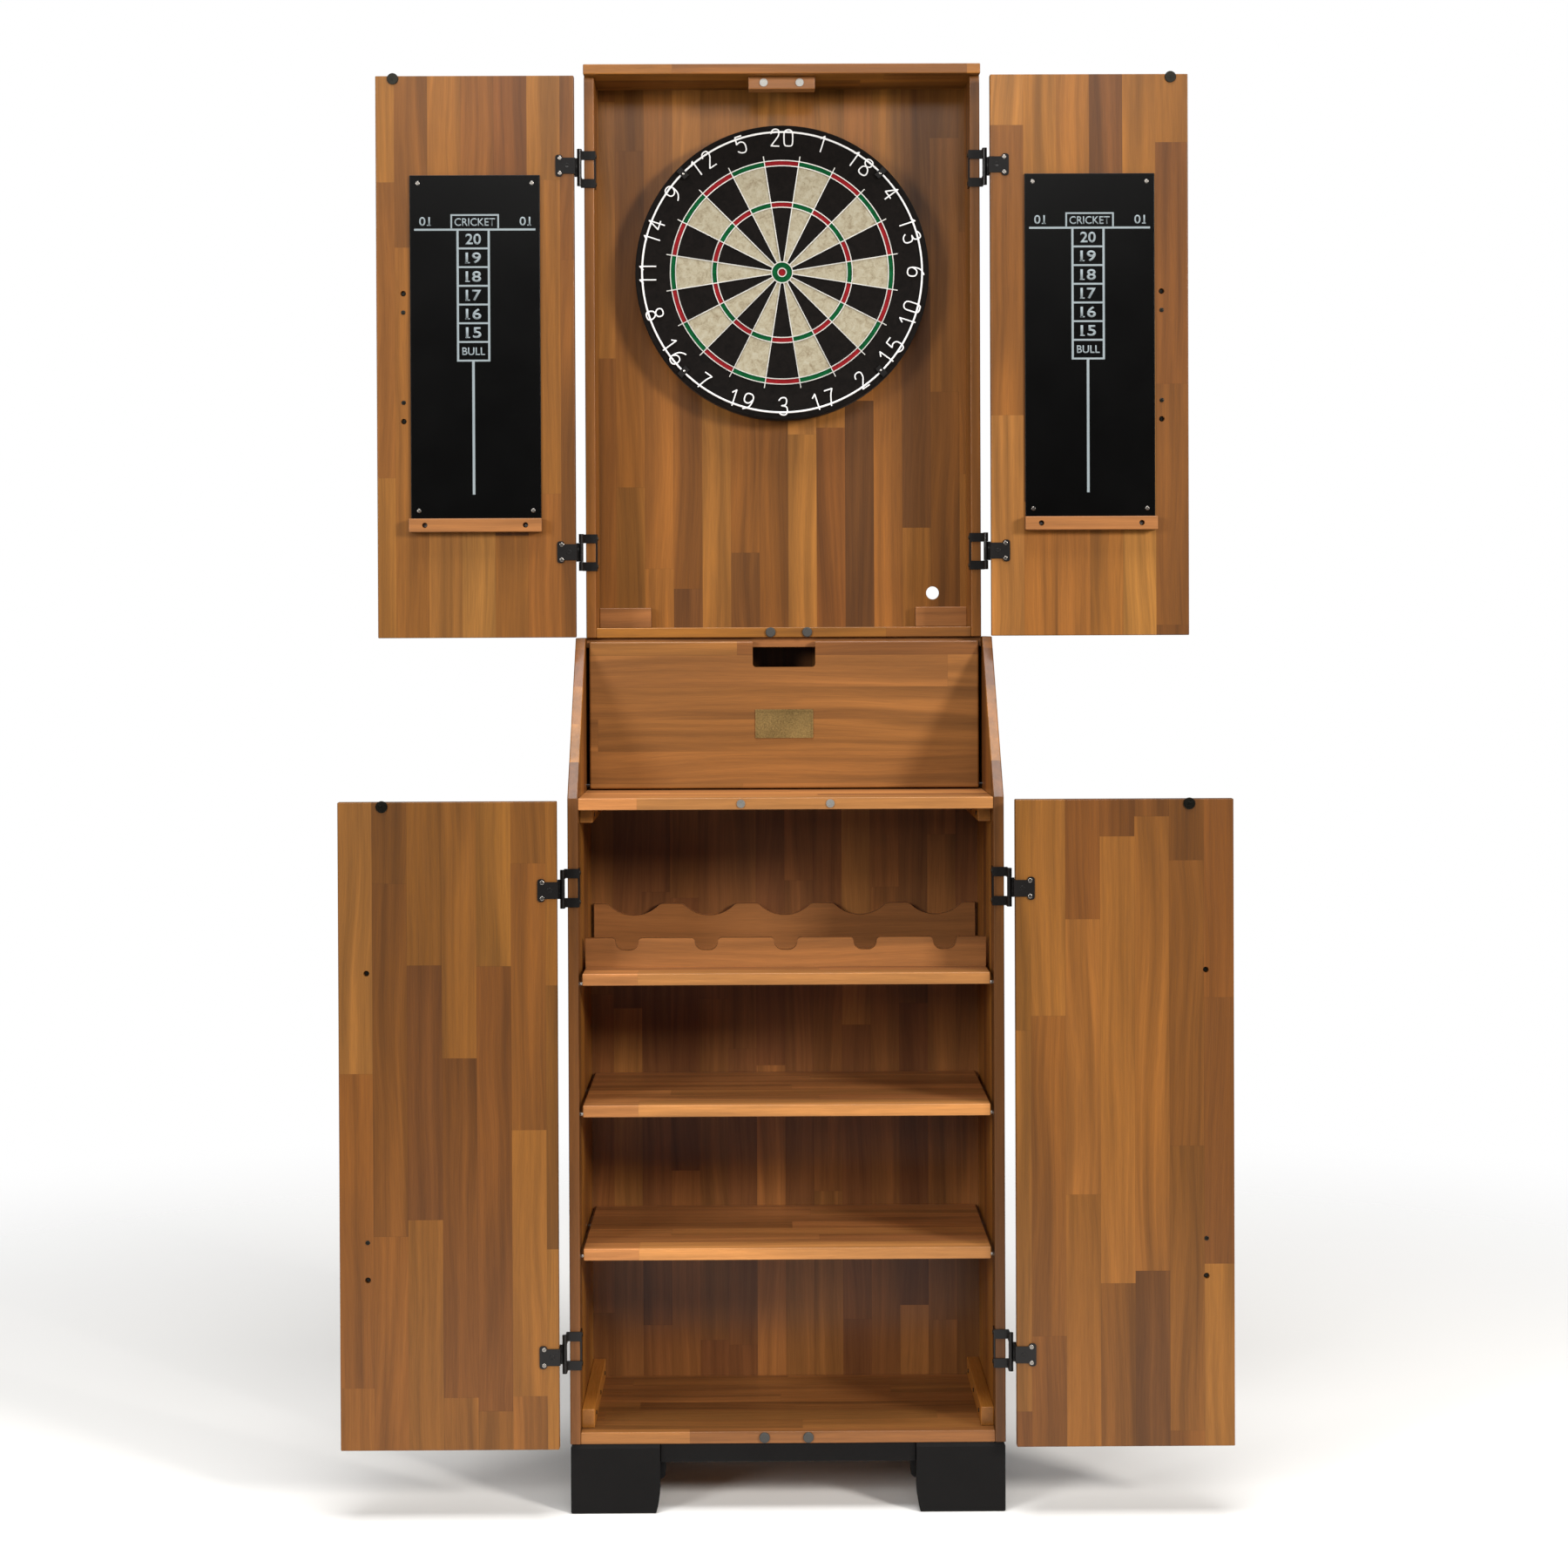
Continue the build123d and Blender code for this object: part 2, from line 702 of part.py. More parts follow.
lower_door = Door(
    half_lower, front, base_height + lower_door_foot_gap, counter_height - lower_door_head_gap,
    lower_hinges(), lower_magnet_x, counter_height - board_t / 2,
    (base_height + lower_door_foot_gap + counter_height - lower_door_head_gap) / 2,
    (lower_pull_outer, lower_pull_inner), lower_pull_inner_ends,
)
upper_door = Door(
    half_upper, upper_front, upper_floor + upper_door_foot_gap, upper_ceiling - upper_door_head_gap,
    upper_hinges(), upper_magnet_x, catch_foot + catch_height / 2,
    upper_pull_centre, (upper_pull_outer, upper_pull_inner), upper_pull_inner_ends,
)


def score_centre_x():
    return (upper_door.free_edge + upper_door.hinge_edge) / 2


def score_panel():
    """Plain scoring board on the inner face of an upper door."""
    x = score_centre_x()
    board = block(x - score_width / 2, x + score_width / 2, upper_door.inner, upper_door.inner + score_t,
                  score_bottom, score_bottom + score_height, score_ease)
    return cut_all(board, score_screws())


def score_screws():
    x = score_centre_x()
    face = upper_door.inner + score_t
    spots = [(sx * (score_width / 2 - score_screw_in), sz) for sx in (-1, 1)
             for sz in (score_screw_in, score_height - score_screw_in)]
    return [screw_y(x + dx, face, score_bottom + dz, -1) for dx, dz in spots]


def ledge_screws():
    x = score_centre_x()
    face = upper_door.inner + ledge_depth / 2
    return [screw_y(x + sign * (ledge_width / 2 - ledge_hole_in), face, score_bottom - ledge_height / 2, -1,
                    length=ledge_depth / 2 + screw_length) for sign in (-1, 1)]


def ledge():
    """Marker ledge under the scoring board, fixed through two counterbored holes."""
    x = score_centre_x()
    bar = block(x - ledge_width / 2, x + ledge_width / 2, upper_door.inner, upper_door.inner + ledge_depth,
                score_bottom - ledge_height, score_bottom, ease)
    holes = [rod(ledge_hole_r, upper_door.inner + ledge_depth / 2, upper_door.inner + ledge_depth,
                 x + sign * (ledge_width / 2 - ledge_hole_in), score_bottom - ledge_height / 2, "Y")
             for sign in (-1, 1)]
    return cut_all(bar, holes + ledge_screws())


def swung_open(piece, door):
    """A right-hand door's piece turned half a turn about its hinge axis, flat open."""
    axis_x = door.outer + hinge_out
    axis_y = door.plane - hinge_forward
    return Pos(axis_x, axis_y, 0) * Rot(0, 0, 180) * Pos(-axis_x, -axis_y, 0) * piece


def save_door(place, door, more_pieces=(), more_screws=()):
    """Write the right door and its mirror image on the left, both open."""
    groups = {
        "panel": [door.panel(more_screws)],
        "hinge_leaves": door.leaves(),
        "strike": [door.strike()],
        "pull": [door.pull()],
        "screws": door.screws() + list(more_screws),
    }
    groups.update(more_pieces)
    for group, pieces in groups.items():
        opened = [swung_open(piece, door) for piece in pieces]
        save(f"{place}_right_door_{group}", *opened)
        save(f"{place}_left_door_{group}", *[left_of(piece) for piece in opened])


# ---- flap ------------------------------------------------------------------------------
def flap():
    """Drop flap of the bin, hand notch in its top edge, turning on a pin at each end."""
    top = flap_foot + flap_height
    panel = block(-flap_half, flap_half, upper_front, upper_front + flap_t, flap_foot, top, 2 * ease)
    notch = block(-notch_width / 2, notch_width / 2, upper_front, upper_front + flap_t,
                  top - notch_depth, top)
    bottoms = [e for e in notch.edges().filter_by(Axis.Y) if e.center().Z < top - notch_depth / 2]
    panel = panel - fillet(bottoms, notch_r)
    for sign in (-1, 1):
        x0, x1 = sorted((sign * flap_half, sign * (flap_half - flap_pin_flap - pin_play)))
        panel = panel - rod(flap_pin_r + pin_play, x0, x1, flap_pivot_y, flap_pivot_z, "X")
    return panel


def flap_pin():
    """Pivot pin fixed in the wing and reaching into the end of the flap."""
    return rod(flap_pin_r, flap_half - flap_pin_flap, half_inner + flap_pin_wing, flap_pivot_y,
               flap_pivot_z, "X")


def nameplate():
    """Bare plate with a raised border."""
    z = flap_foot + nameplate_centre
    plate = block(-nameplate_width / 2, nameplate_width / 2, upper_front - nameplate_t, upper_front,
                  z - nameplate_height / 2, z + nameplate_height / 2)
    plate = fillet(plate.edges().filter_by(Axis.Y), nameplate_t)
    border = 2 * nameplate_t
    field = block(-nameplate_width / 2 + border, nameplate_width / 2 - border, upper_front - nameplate_t,
                  upper_front - nameplate_t * 0.6, z - nameplate_height / 2 + border,
                  z + nameplate_height / 2 - border)
    return plate - field


# ---- dartboard -------------------------------------------------------------------------
def dart_face():
    """The sisal disc, its front rim eased."""
    disc = rod(dart_r, dart_front, dart_seam, 0, bull_height, "Y")
    return fillet(disc.edges().sort_by(Axis.Y)[0], dart_ease)


def dart_backing():
    disc = rod(dart_r, dart_seam, dart_back, 0, bull_height, "Y")
    bore_end = dart_back - hanger_depth + dart_wall_gap
    return disc - rod(hanger_neck_r, bore_end, dart_back, 0, bull_height, "Y")


def spider():
    """Flat-wire web: six rings and the walls between the scoring segments."""
    def ring(radius):
        return Circle(radius + spider_wire / 2) - Circle(radius - spider_wire / 2)

    web = ring(double_r[1])
    for radius in (double_r[0], treble_r[1], treble_r[0], bull_r[1], bull_r[0]):
        web += ring(radius)
    spoke_length = spoke_end - bull_r[1]
    spoke_middle = (spoke_end + bull_r[1]) / 2
    for i in range(segments):
        turn = Rot(0, 0, (i + 0.5) * 360 / segments)
        web += turn * Pos(spoke_middle, 0) * Rectangle(spoke_length, spider_wire)
    plane = Plane(origin=(0, dart_front, bull_height), z_dir=(0, -1, 0), x_dir=(1, 0, 0))
    return extrude(plane * web, spider_proud)


def number_ring():
    """Loose steel ring that carries the numbers."""
    centre = Pos(0, dart_front - number_ring_proud, bull_height)
    return centre * Rot(90, 0, 0) * Torus(number_ring_r, number_wire_r)


def ring_clip(turn):
    """Spring clip across the number ring, pinned to the face outside and inside it."""
    top = number_ring_proud + number_wire_r + clip_t + clip_play
    inner_top = top - clip_t
    frame = Box(clip_length, top, clip_width) - Pos(0, -clip_t / 2) * Box(
        clip_length - 2 * clip_t, inner_top, clip_width)
    placed = Pos(0, -top / 2, 0) * (Rot(180, 0, 0) * frame)
    radial = Pos(number_ring_r, 0, 0) * placed
    return Pos(0, dart_front, bull_height) * Rot(0, turn, 0) * radial


def hanger_bolt():
    """Centre bolt of the board: head behind the bracket, neck in its slot, shank in the backing."""
    head_y = back_face - hanger_head_stand
    head = rod(hanger_head_r, head_y, head_y + hanger_head_t, 0, bull_height, "Y")
    depth = hanger_depth - dart_wall_gap
    return head + rod(hanger_neck_r, dart_back - depth, head_y, 0, bull_height, "Y")


def wall_pads():
    """Rubber pads behind the rim that keep the board square to the wall."""
    pads = []
    for i in range(3):
        angle = math.radians(90 + 120 * i)
        x = pad_circle_r * math.cos(angle)
        z = bull_height + pad_circle_r * math.sin(angle)
        pads.append(rod(pad_r, dart_back, back_face - stop_play, x, z, "Y"))
    return pads


def hanger():
    """Slotted bracket on the back panel: two flanges and a raised bridge open at the top."""
    half_w = hanger_width / 2
    z0 = bull_height - hanger_height / 2
    z1 = bull_height + hanger_height / 2
    bridge_front = back_face - hanger_bridge_stand
    part = block(-half_w, half_w, bridge_front, bridge_front + hanger_t, z0, z1)
    for sign in (-1, 1):
        x0, x1 = sorted((sign * half_w, sign * (half_w - hanger_t)))
        part = part + block(x0, x1, bridge_front, back_face, z0, z1)
        x0, x1 = sorted((sign * (half_w - hanger_t), sign * (half_w + hanger_flange)))
        part = part + block(x0, x1, back_face - hanger_t, back_face, z0, z1)
    slot_r = hanger_neck_r + pin_play
    slot = block(-slot_r, slot_r, bridge_front, bridge_front + hanger_t, bull_height, z1)
    slot = slot + rod(slot_r, bridge_front, bridge_front + hanger_t, 0, bull_height, "Y")
    return cut_all(part, [slot] + hanger_screws())


def hanger_screws():
    x = hanger_width / 2 + hanger_flange / 2
    face = back_face - hanger_t
    reach = hanger_height / 2 - hanger_flange / 2
    return [screw_y(sx * x, face, bull_height + sz * reach, 1, length=hanger_t + back_t * 0.75)
            for sx in (-1, 1) for sz in (-1, 1)]


# ---- write every sub-part --------------------------------------------------------------
right_side = lower_side()
save("lower_right_side", right_side)
save("lower_left_side", left_of(right_side))
save("lower_back", lower_back())
save("counter_top", counter())
save("bottom_board", cross_board(bottom_top))
save("wine_rack_shelf", shelf(rack_shelf_top))
save("shelves", *[shelf(top) for top in shelf_tops])
right_pins = [shelf_pin(y, top) for top in (rack_shelf_top,) + shelf_tops for y in shelf_pin_rows()]
save("shelf_pins", *right_pins, *[left_of(pin) for pin in right_pins])
save("wine_rack_front", rack_front())
save("wine_rack_rear", rack_rear())
right_cleats = [cut_all(counter_cleat(), cleat_screws()), cut_all(bottom_cleat(), cleat_screws())]
save("cleats", *right_cleats, *[left_of(cleat) for cleat in right_cleats])
save("bin_top_board", bin_top())

right_feet = foot_parts()
save("base_feet", *right_feet, *[left_of(foot) for foot in right_feet])
save("base_rails", cross_rail(front, 1), cross_rail(rear, -1), *both(side_rail()))

right_upper_side = upper_side()
save("upper_right_side", right_upper_side)
save("upper_left_side", left_of(right_upper_side))
save("upper_top", upper_top())
save("upper_bottom", upper_bottom())
save("upper_back", upper_back())
save("corner_blocks", *both(back_corner_block()))
save("catch_block", catch_bar())
save("door_magnets",
     *[magnet(x, upper_front + board_setback, catch_foot + catch_height / 2)
       for x in (-upper_magnet_x, upper_magnet_x)],
     *[magnet(x, front + board_setback, counter_height - board_t / 2)
       for x in (-lower_magnet_x, lower_magnet_x)])
save("door_bumpers",
     *[bumper(x, upper_front, upper_floor + upper_board_t / 2) for x in upper_bumper_x],
     *[bumper(x, front, base_height + board_t / 2) for x in lower_bumper_x])

all_hinges = lower_hinges() + upper_hinges()
right_brackets = [bracket(*hinge) for hinge in all_hinges]
save("hinge_brackets", *right_brackets, *[left_of(piece) for piece in right_brackets])
right_pivots = [hinge_pin(*hinge) for hinge in all_hinges] + [flap_pin()]
save("pivot_pins", *right_pivots, *[left_of(pin) for pin in right_pivots])
right_screws = bracket_screws(all_hinges) + cleat_screws()
save("carcass_screws", *right_screws, *[left_of(piece) for piece in right_screws], *hanger_screws())

save_door("lower", lower_door)
save_door("upper", upper_door, {"scoreboard": [score_panel()], "ledge": [ledge()]},
          score_screws() + ledge_screws())

save("flap_panel", flap())
save("flap_nameplate", nameplate())

save("dartboard_bracket", hanger())
save("dartboard_face", dart_face())
save("dartboard_backing", dart_backing())
save("dartboard_spider", spider())
save("dartboard_number_ring", number_ring())
save("number_ring_clips", *[ring_clip(clip_angle + 90 * i) for i in range(4)])
save("dartboard_centre_bolt", hanger_bolt())
save("dartboard_wall_pads", *wall_pads())
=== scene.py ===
import math
import random

import bmesh
import bpy
from mathutils import Matrix, Vector


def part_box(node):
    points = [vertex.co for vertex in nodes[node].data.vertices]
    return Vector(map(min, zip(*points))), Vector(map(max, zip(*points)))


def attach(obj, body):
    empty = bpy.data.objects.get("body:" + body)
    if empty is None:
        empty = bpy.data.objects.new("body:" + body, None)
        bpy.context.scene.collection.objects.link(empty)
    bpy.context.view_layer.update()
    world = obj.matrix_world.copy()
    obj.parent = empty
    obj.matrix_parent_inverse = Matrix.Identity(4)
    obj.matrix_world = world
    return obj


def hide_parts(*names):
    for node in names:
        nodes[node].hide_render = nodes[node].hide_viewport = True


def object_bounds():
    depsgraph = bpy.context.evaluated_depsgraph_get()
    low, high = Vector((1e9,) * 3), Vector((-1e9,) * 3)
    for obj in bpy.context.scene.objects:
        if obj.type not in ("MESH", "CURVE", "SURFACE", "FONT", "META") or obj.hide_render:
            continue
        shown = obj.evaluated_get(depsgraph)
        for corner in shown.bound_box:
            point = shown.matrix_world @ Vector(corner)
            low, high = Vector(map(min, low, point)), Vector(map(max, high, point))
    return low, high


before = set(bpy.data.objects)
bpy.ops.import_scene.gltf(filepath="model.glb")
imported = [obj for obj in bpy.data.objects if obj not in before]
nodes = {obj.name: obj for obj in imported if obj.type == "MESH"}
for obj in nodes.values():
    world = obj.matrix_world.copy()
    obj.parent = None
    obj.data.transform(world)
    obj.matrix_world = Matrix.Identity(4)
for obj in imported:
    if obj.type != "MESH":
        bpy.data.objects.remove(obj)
cad_low, cad_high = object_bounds()
MM = 0.001


# ---- small helpers ----------------------------------------------------------------------
def linear(colour):
    """An sRGB hex colour as the linear RGBA that the shaders work in."""
    parts = [int(colour[i:i + 2], 16) / 255 for i in (1, 3, 5)]
    return tuple(c / 12.92 if c <= 0.04045 else ((c + 0.055) / 1.055) ** 2.4 for c in parts) + (1.0,)


def add(tree, kind, settings=None, inputs=None, out=0):
    """Adds a node with its settings, its values and its links, and returns one of its outputs."""
    made = tree.nodes.new(kind)
    for key, value in (settings or {}).items():
        if key == "stops":
            ramp = made.color_ramp
            while len(ramp.elements) < len(value):
                ramp.elements.new(0.5)
            for element, (place, colour) in zip(ramp.elements, value):
                element.position = place
                element.color = linear(colour)
        else:
            setattr(made, key, value)
    for key, value in (inputs or {}).items():
        if isinstance(value, bpy.types.NodeSocket):
            tree.links.new(value, made.inputs[key])
        else:
            made.inputs[key].default_value = value
    return made.outputs[out]


def new_material(name):
    """An empty material, its node tree and its output node."""
    material = bpy.data.materials.new(name)
    material.use_nodes = True
    tree = material.node_tree
    tree.nodes.clear()
    output = tree.nodes.new("ShaderNodeOutputMaterial")
    return material, tree, output


def deselect():
    bpy.ops.object.select_all(action="DESELECT")


def work_on(piece):
    """Makes one object the only selected and active one."""
    deselect()
    piece.select_set(True)
    bpy.context.view_layer.objects.active = piece


def joined(pieces, name):
    """Several objects made one, with its place in its mesh."""
    work_on(pieces[0])
    for piece in pieces:
        piece.select_set(True)
    if len(pieces) > 1:
        bpy.ops.object.join()
    bpy.ops.object.transform_apply(location=True, rotation=True, scale=True)
    piece = bpy.context.view_layer.objects.active
    piece.name = name
    return piece


def copied(shape, place=Matrix()):
    """Another of a shape, with its own mesh, put where a matrix says."""
    copy = bpy.data.objects.new(shape.name, shape.data.copy())
    bpy.context.scene.collection.objects.link(copy)
    copy.matrix_world = place
    return copy


def corners_of(piece):
    """The low and the high corner of a piece's mesh."""
    points = [v.co for v in piece.data.vertices]
    return (Vector([min(p[i] for p in points) for i in range(3)]),
            Vector([max(p[i] for p in points) for i in range(3)]))


def select_facing(piece, direction):
    """Selects, in edit mode, only the faces that look along a direction."""
    bpy.ops.mesh.select_mode(type="FACE")
    bpy.ops.mesh.select_all(action="DESELECT")
    shaping = bmesh.from_edit_mesh(piece.data)
    for face in shaping.faces:
        face.select_set(face.normal.dot(direction) > 0.99)
    bmesh.update_edit_mesh(piece.data)


def painted(piece, material):
    piece.data.materials.clear()
    piece.data.materials.append(material)
    return piece


# ---- wood -------------------------------------------------------------------------------
AXES = {"X": 0, "Y": 1, "Z": 2}
HONEY = ((0.0, "#6d431f"), (0.12, "#83501f"), (0.5, "#9b6225"), (0.86, "#aa6e2d"), (1.0, "#b77c38"))
WALNUT = ((0.0, "#5e381c"), (0.25, "#6a4121"), (0.5, "#744923"), (0.78, "#7e5127"), (1.0, "#8a5b2d"))


def acacia(name, grain, across, stave=49.2, board=520, tones=HONEY, start=0.0, seed=0.0, contrast=1.0,
           value=1.0, spread=1.0, saturation=1.0):
    """Edge-glued acacia under satin lacquer: straight staves of random lengths, each with its own
    tone, a ribbon figure a few millimetres wide along the grain and fine open pores."""
    material, tree, output = new_material(name)
    place = add(tree, "ShaderNodeTexCoord", out=3)
    axes = tree.nodes.new("ShaderNodeSeparateXYZ")
    tree.links.new(place, axes.inputs[0])
    along = axes.outputs[AXES[grain]]
    over = axes.outputs[AXES[across]]
    deep = axes.outputs[3 - AXES[grain] - AXES[across]]

    rows = add(tree, "ShaderNodeMath", {"operation": "MULTIPLY_ADD"},
               {0: over, 1: 1 / (stave * MM), 2: -start / stave + 200})
    row = add(tree, "ShaderNodeMath", {"operation": "FLOOR"}, {0: rows})
    row_random = add(tree, "ShaderNodeTexWhiteNoise", {"noise_dimensions": "2D"},
                     {0: add(tree, "ShaderNodeCombineXYZ", inputs={0: row, 1: seed})}, out=1)
    row_parts = tree.nodes.new("ShaderNodeSeparateColor")
    tree.links.new(row_random, row_parts.inputs[0])
    pace = add(tree, "ShaderNodeMapRange", inputs={
        0: row_parts.outputs[0], 3: 0.75 / (board * MM), 4: 1.45 / (board * MM)})
    shift = add(tree, "ShaderNodeMath", {"operation": "MULTIPLY"}, {0: row_parts.outputs[1], 1: 9.0})
    lengths = add(tree, "ShaderNodeMath", {"operation": "MULTIPLY_ADD"}, {0: along, 1: pace, 2: shift})
    length = add(tree, "ShaderNodeMath", {"operation": "FLOOR"}, {0: lengths})
    own = add(tree, "ShaderNodeTexWhiteNoise", {"noise_dimensions": "3D"},
              {0: add(tree, "ShaderNodeCombineXYZ", inputs={0: row, 1: length, 2: seed})}, out=1)
    own_parts = tree.nodes.new("ShaderNodeSeparateColor")
    tree.links.new(own, own_parts.inputs[0])

    # every stave is cut from another place in the figure
    jump = add(tree, "ShaderNodeVectorMath", {"operation": "SCALE"}, {0: own, "Scale": 37.0})

    # and its grain runs a little aslant and wanders
    slow = add(tree, "ShaderNodeCombineXYZ", inputs={
        0: add(tree, "ShaderNodeMath", {"operation": "MULTIPLY"}, {0: along, 1: 2.6}),
        1: add(tree, "ShaderNodeMath", {"operation": "MULTIPLY"}, {0: over, 1: 7.0})})
    wander = add(tree, "ShaderNodeTexNoise", inputs={
        "Vector": add(tree, "ShaderNodeVectorMath", {"operation": "ADD"}, {0: slow, 1: jump}),
        "Scale": 1.0, "Detail": 1.0})
    bent = add(tree, "ShaderNodeMath", {"operation": "MULTIPLY_ADD"}, {0: wander, 1: 40 * MM, 2: over})

    def figure(along_scale, over_scale, detail, roughness, distortion=0.0):
        """Noise drawn out along the bent grain."""
        stretched = add(tree, "ShaderNodeCombineXYZ", inputs={
            0: add(tree, "ShaderNodeMath", {"operation": "MULTIPLY"}, {0: along, 1: along_scale}),
            1: add(tree, "ShaderNodeMath", {"operation": "MULTIPLY"}, {0: bent, 1: over_scale}),
            2: add(tree, "ShaderNodeMath", {"operation": "MULTIPLY"}, {0: deep, 1: over_scale})})
        moved = add(tree, "ShaderNodeVectorMath", {"operation": "ADD"}, {0: stretched, 1: jump})
        return add(tree, "ShaderNodeTexNoise", inputs={
            "Vector": moved, "Scale": 1.0, "Detail": detail, "Roughness": roughness,
            "Distortion": distortion})

    sweep = figure(1.1, 16, 2, 0.5, 0.6)        # broad soft bands, about 60 mm
    ribbon = figure(2.2, 95, 4, 0.55, 0.35)     # ribbon figure, about 10 mm
    fibre = figure(26, 780, 3, 0.6)             # fibres and pores, drawn 1.3 mm wide so that they show
    level = add(tree, "ShaderNodeMapRange", inputs={
        0: own_parts.outputs[0], 3: 0.5 - spread / 2, 4: 0.5 + spread / 2})
    tone = add(tree, "ShaderNodeValToRGB", {"stops": tones}, {0: level})
    hue = add(tree, "ShaderNodeMapRange", inputs={0: own_parts.outputs[1], 3: 0.4965, 4: 0.5025})
    tinted = add(tree, "ShaderNodeHueSaturation", inputs={
        "Hue": hue, "Saturation": saturation, "Value": value, "Color": tone})
    dark_sweep = add(tree, "ShaderNodeMapRange", {"interpolation_type": "SMOOTHSTEP"},
                     {0: sweep, 1: 0.38, 2: 0.66, 3: 1.12, 4: 1 - 0.28 * contrast})
    dark_ribbon = add(tree, "ShaderNodeMapRange", inputs={
        0: ribbon, 1: 0.3, 2: 0.72, 3: 1.12, 4: 1 - 0.30 * contrast})
    dark_fibre = add(tree, "ShaderNodeMapRange", inputs={0: fibre, 1: 0.3, 2: 0.75, 3: 1.06, 4: 0.84})
    shade = add(tree, "ShaderNodeMath", {"operation": "MULTIPLY"}, {0: dark_sweep, 1: dark_ribbon})
    shade = add(tree, "ShaderNodeMath", {"operation": "MULTIPLY"}, {0: shade, 1: dark_fibre})

    # glue lines, and end grain where a face crosses the grain
    edge = add(tree, "ShaderNodeMath", {"operation": "PINGPONG"}, {0: rows, 1: 0.5})
    line = add(tree, "ShaderNodeMapRange", inputs={0: edge, 1: 0.0, 2: 0.5 / stave, 3: 0.80, 4: 1.0})
    butt = add(tree, "ShaderNodeMath", {"operation": "PINGPONG"}, {0: lengths, 1: 0.5})
    butt_line = add(tree, "ShaderNodeMapRange", inputs={0: butt, 1: 0.0, 2: 0.7 / board, 3: 0.84, 4: 1.0})
    lines = add(tree, "ShaderNodeMath", {"operation": "MULTIPLY"}, {0: line, 1: butt_line})
    facing = tree.nodes.new("ShaderNodeSeparateXYZ")
    tree.links.new(add(tree, "ShaderNodeTexCoord", out=1), facing.inputs[0])
    end = add(tree, "ShaderNodeMath", {"operation": "ABSOLUTE"}, {0: facing.outputs[AXES[grain]]})
    end_shade = add(tree, "ShaderNodeMapRange", inputs={0: end, 1: 0.6, 2: 0.9, 3: 1.0, 4: 0.72})
    shade = add(tree, "ShaderNodeMath", {"operation": "MULTIPLY"}, {0: shade, 1: lines})
    shade = add(tree, "ShaderNodeMath", {"operation": "MULTIPLY"}, {0: shade, 1: end_shade})
    grey = add(tree, "ShaderNodeCombineXYZ", inputs={0: shade, 1: shade, 2: shade})
    colour = add(tree, "ShaderNodeVectorMath", {"operation": "MULTIPLY"}, {0: tinted, 1: grey})

    rough = add(tree, "ShaderNodeMapRange", inputs={0: fibre, 1: 0.3, 2: 0.7, 3: 0.40, 4: 0.54})
    height = add(tree, "ShaderNodeMath", {"operation": "MULTIPLY"}, {0: fibre, 1: lines})
    bump = add(tree, "ShaderNodeBump", inputs={"Strength": 0.25, "Distance": 0.25 * MM, "Height": height})
    shader = add(tree, "ShaderNodeBsdfPrincipled", inputs={
        "Base Color": colour, "Roughness": rough, "IOR": 1.48, "Specular IOR Level": 0.2,
        "Coat Weight": 0.25, "Coat Roughness": 0.2, "Normal": bump})
    tree.links.new(shader, output.inputs[0])
    return material


# ---- other finishes ---------------------------------------------------------------------
CLOUDS_PER_MM = 0.014             # slow changes of tone, about 70 mm wide


def speckled(name, low, high, grit, roughness, metallic=0.0, bump=0.1, spread=0.12, coat=0.0, gloss=0.5):
    """A worn or grained finish of one colour: its tone, gloss and surface vary at the size of its grit."""
    material, tree, output = new_material(name)
    place = add(tree, "ShaderNodeTexCoord", out=3)
    grain = add(tree, "ShaderNodeTexNoise", inputs={"Vector": place, "Scale": 1 / (grit * MM), "Detail": 3.0})
    cloud = add(tree, "ShaderNodeTexNoise", inputs={
        "Vector": place, "Scale": CLOUDS_PER_MM / MM, "Detail": 2.0})
    half_cloud = add(tree, "ShaderNodeMath", {"operation": "MULTIPLY"}, {0: cloud, 1: 0.5})
    both = add(tree, "ShaderNodeMath", {"operation": "MULTIPLY_ADD"}, {0: grain, 1: 0.5, 2: half_cloud})
    colour = add(tree, "ShaderNodeValToRGB", {"stops": ((0.32, low), (0.68, high))}, {0: both})
    rough = add(tree, "ShaderNodeMapRange", inputs={
        0: both, 1: 0.3, 2: 0.7, 3: roughness - spread / 2, 4: roughness + spread / 2})
    surface = add(tree, "ShaderNodeBump", inputs={"Strength": bump, "Distance": 0.2 * MM, "Height": grain})
    shader = add(tree, "ShaderNodeBsdfPrincipled", inputs={
        "Base Color": colour, "Roughness": rough, "Metallic": metallic, "Coat Weight": coat,
        "Specular IOR Level": gloss, "Normal": surface})
    tree.links.new(shader, output.inputs[0])
    return material


TUFTS_PER_MM = 0.085
FIBRES_PER_MM = 0.42
SISAL_DYES = {
    "natural": ((0.33, "#7d705a"), (0.5, "#9c947e"), (0.7, "#aba695")),
    "black": ((0.35, "#080605"), (0.7, "#15110f")),
    "red": ((0.35, "#6c1015"), (0.7, "#8e1a20")),
    "green": ((0.35, "#003a1a"), (0.7, "#04582e")),
}


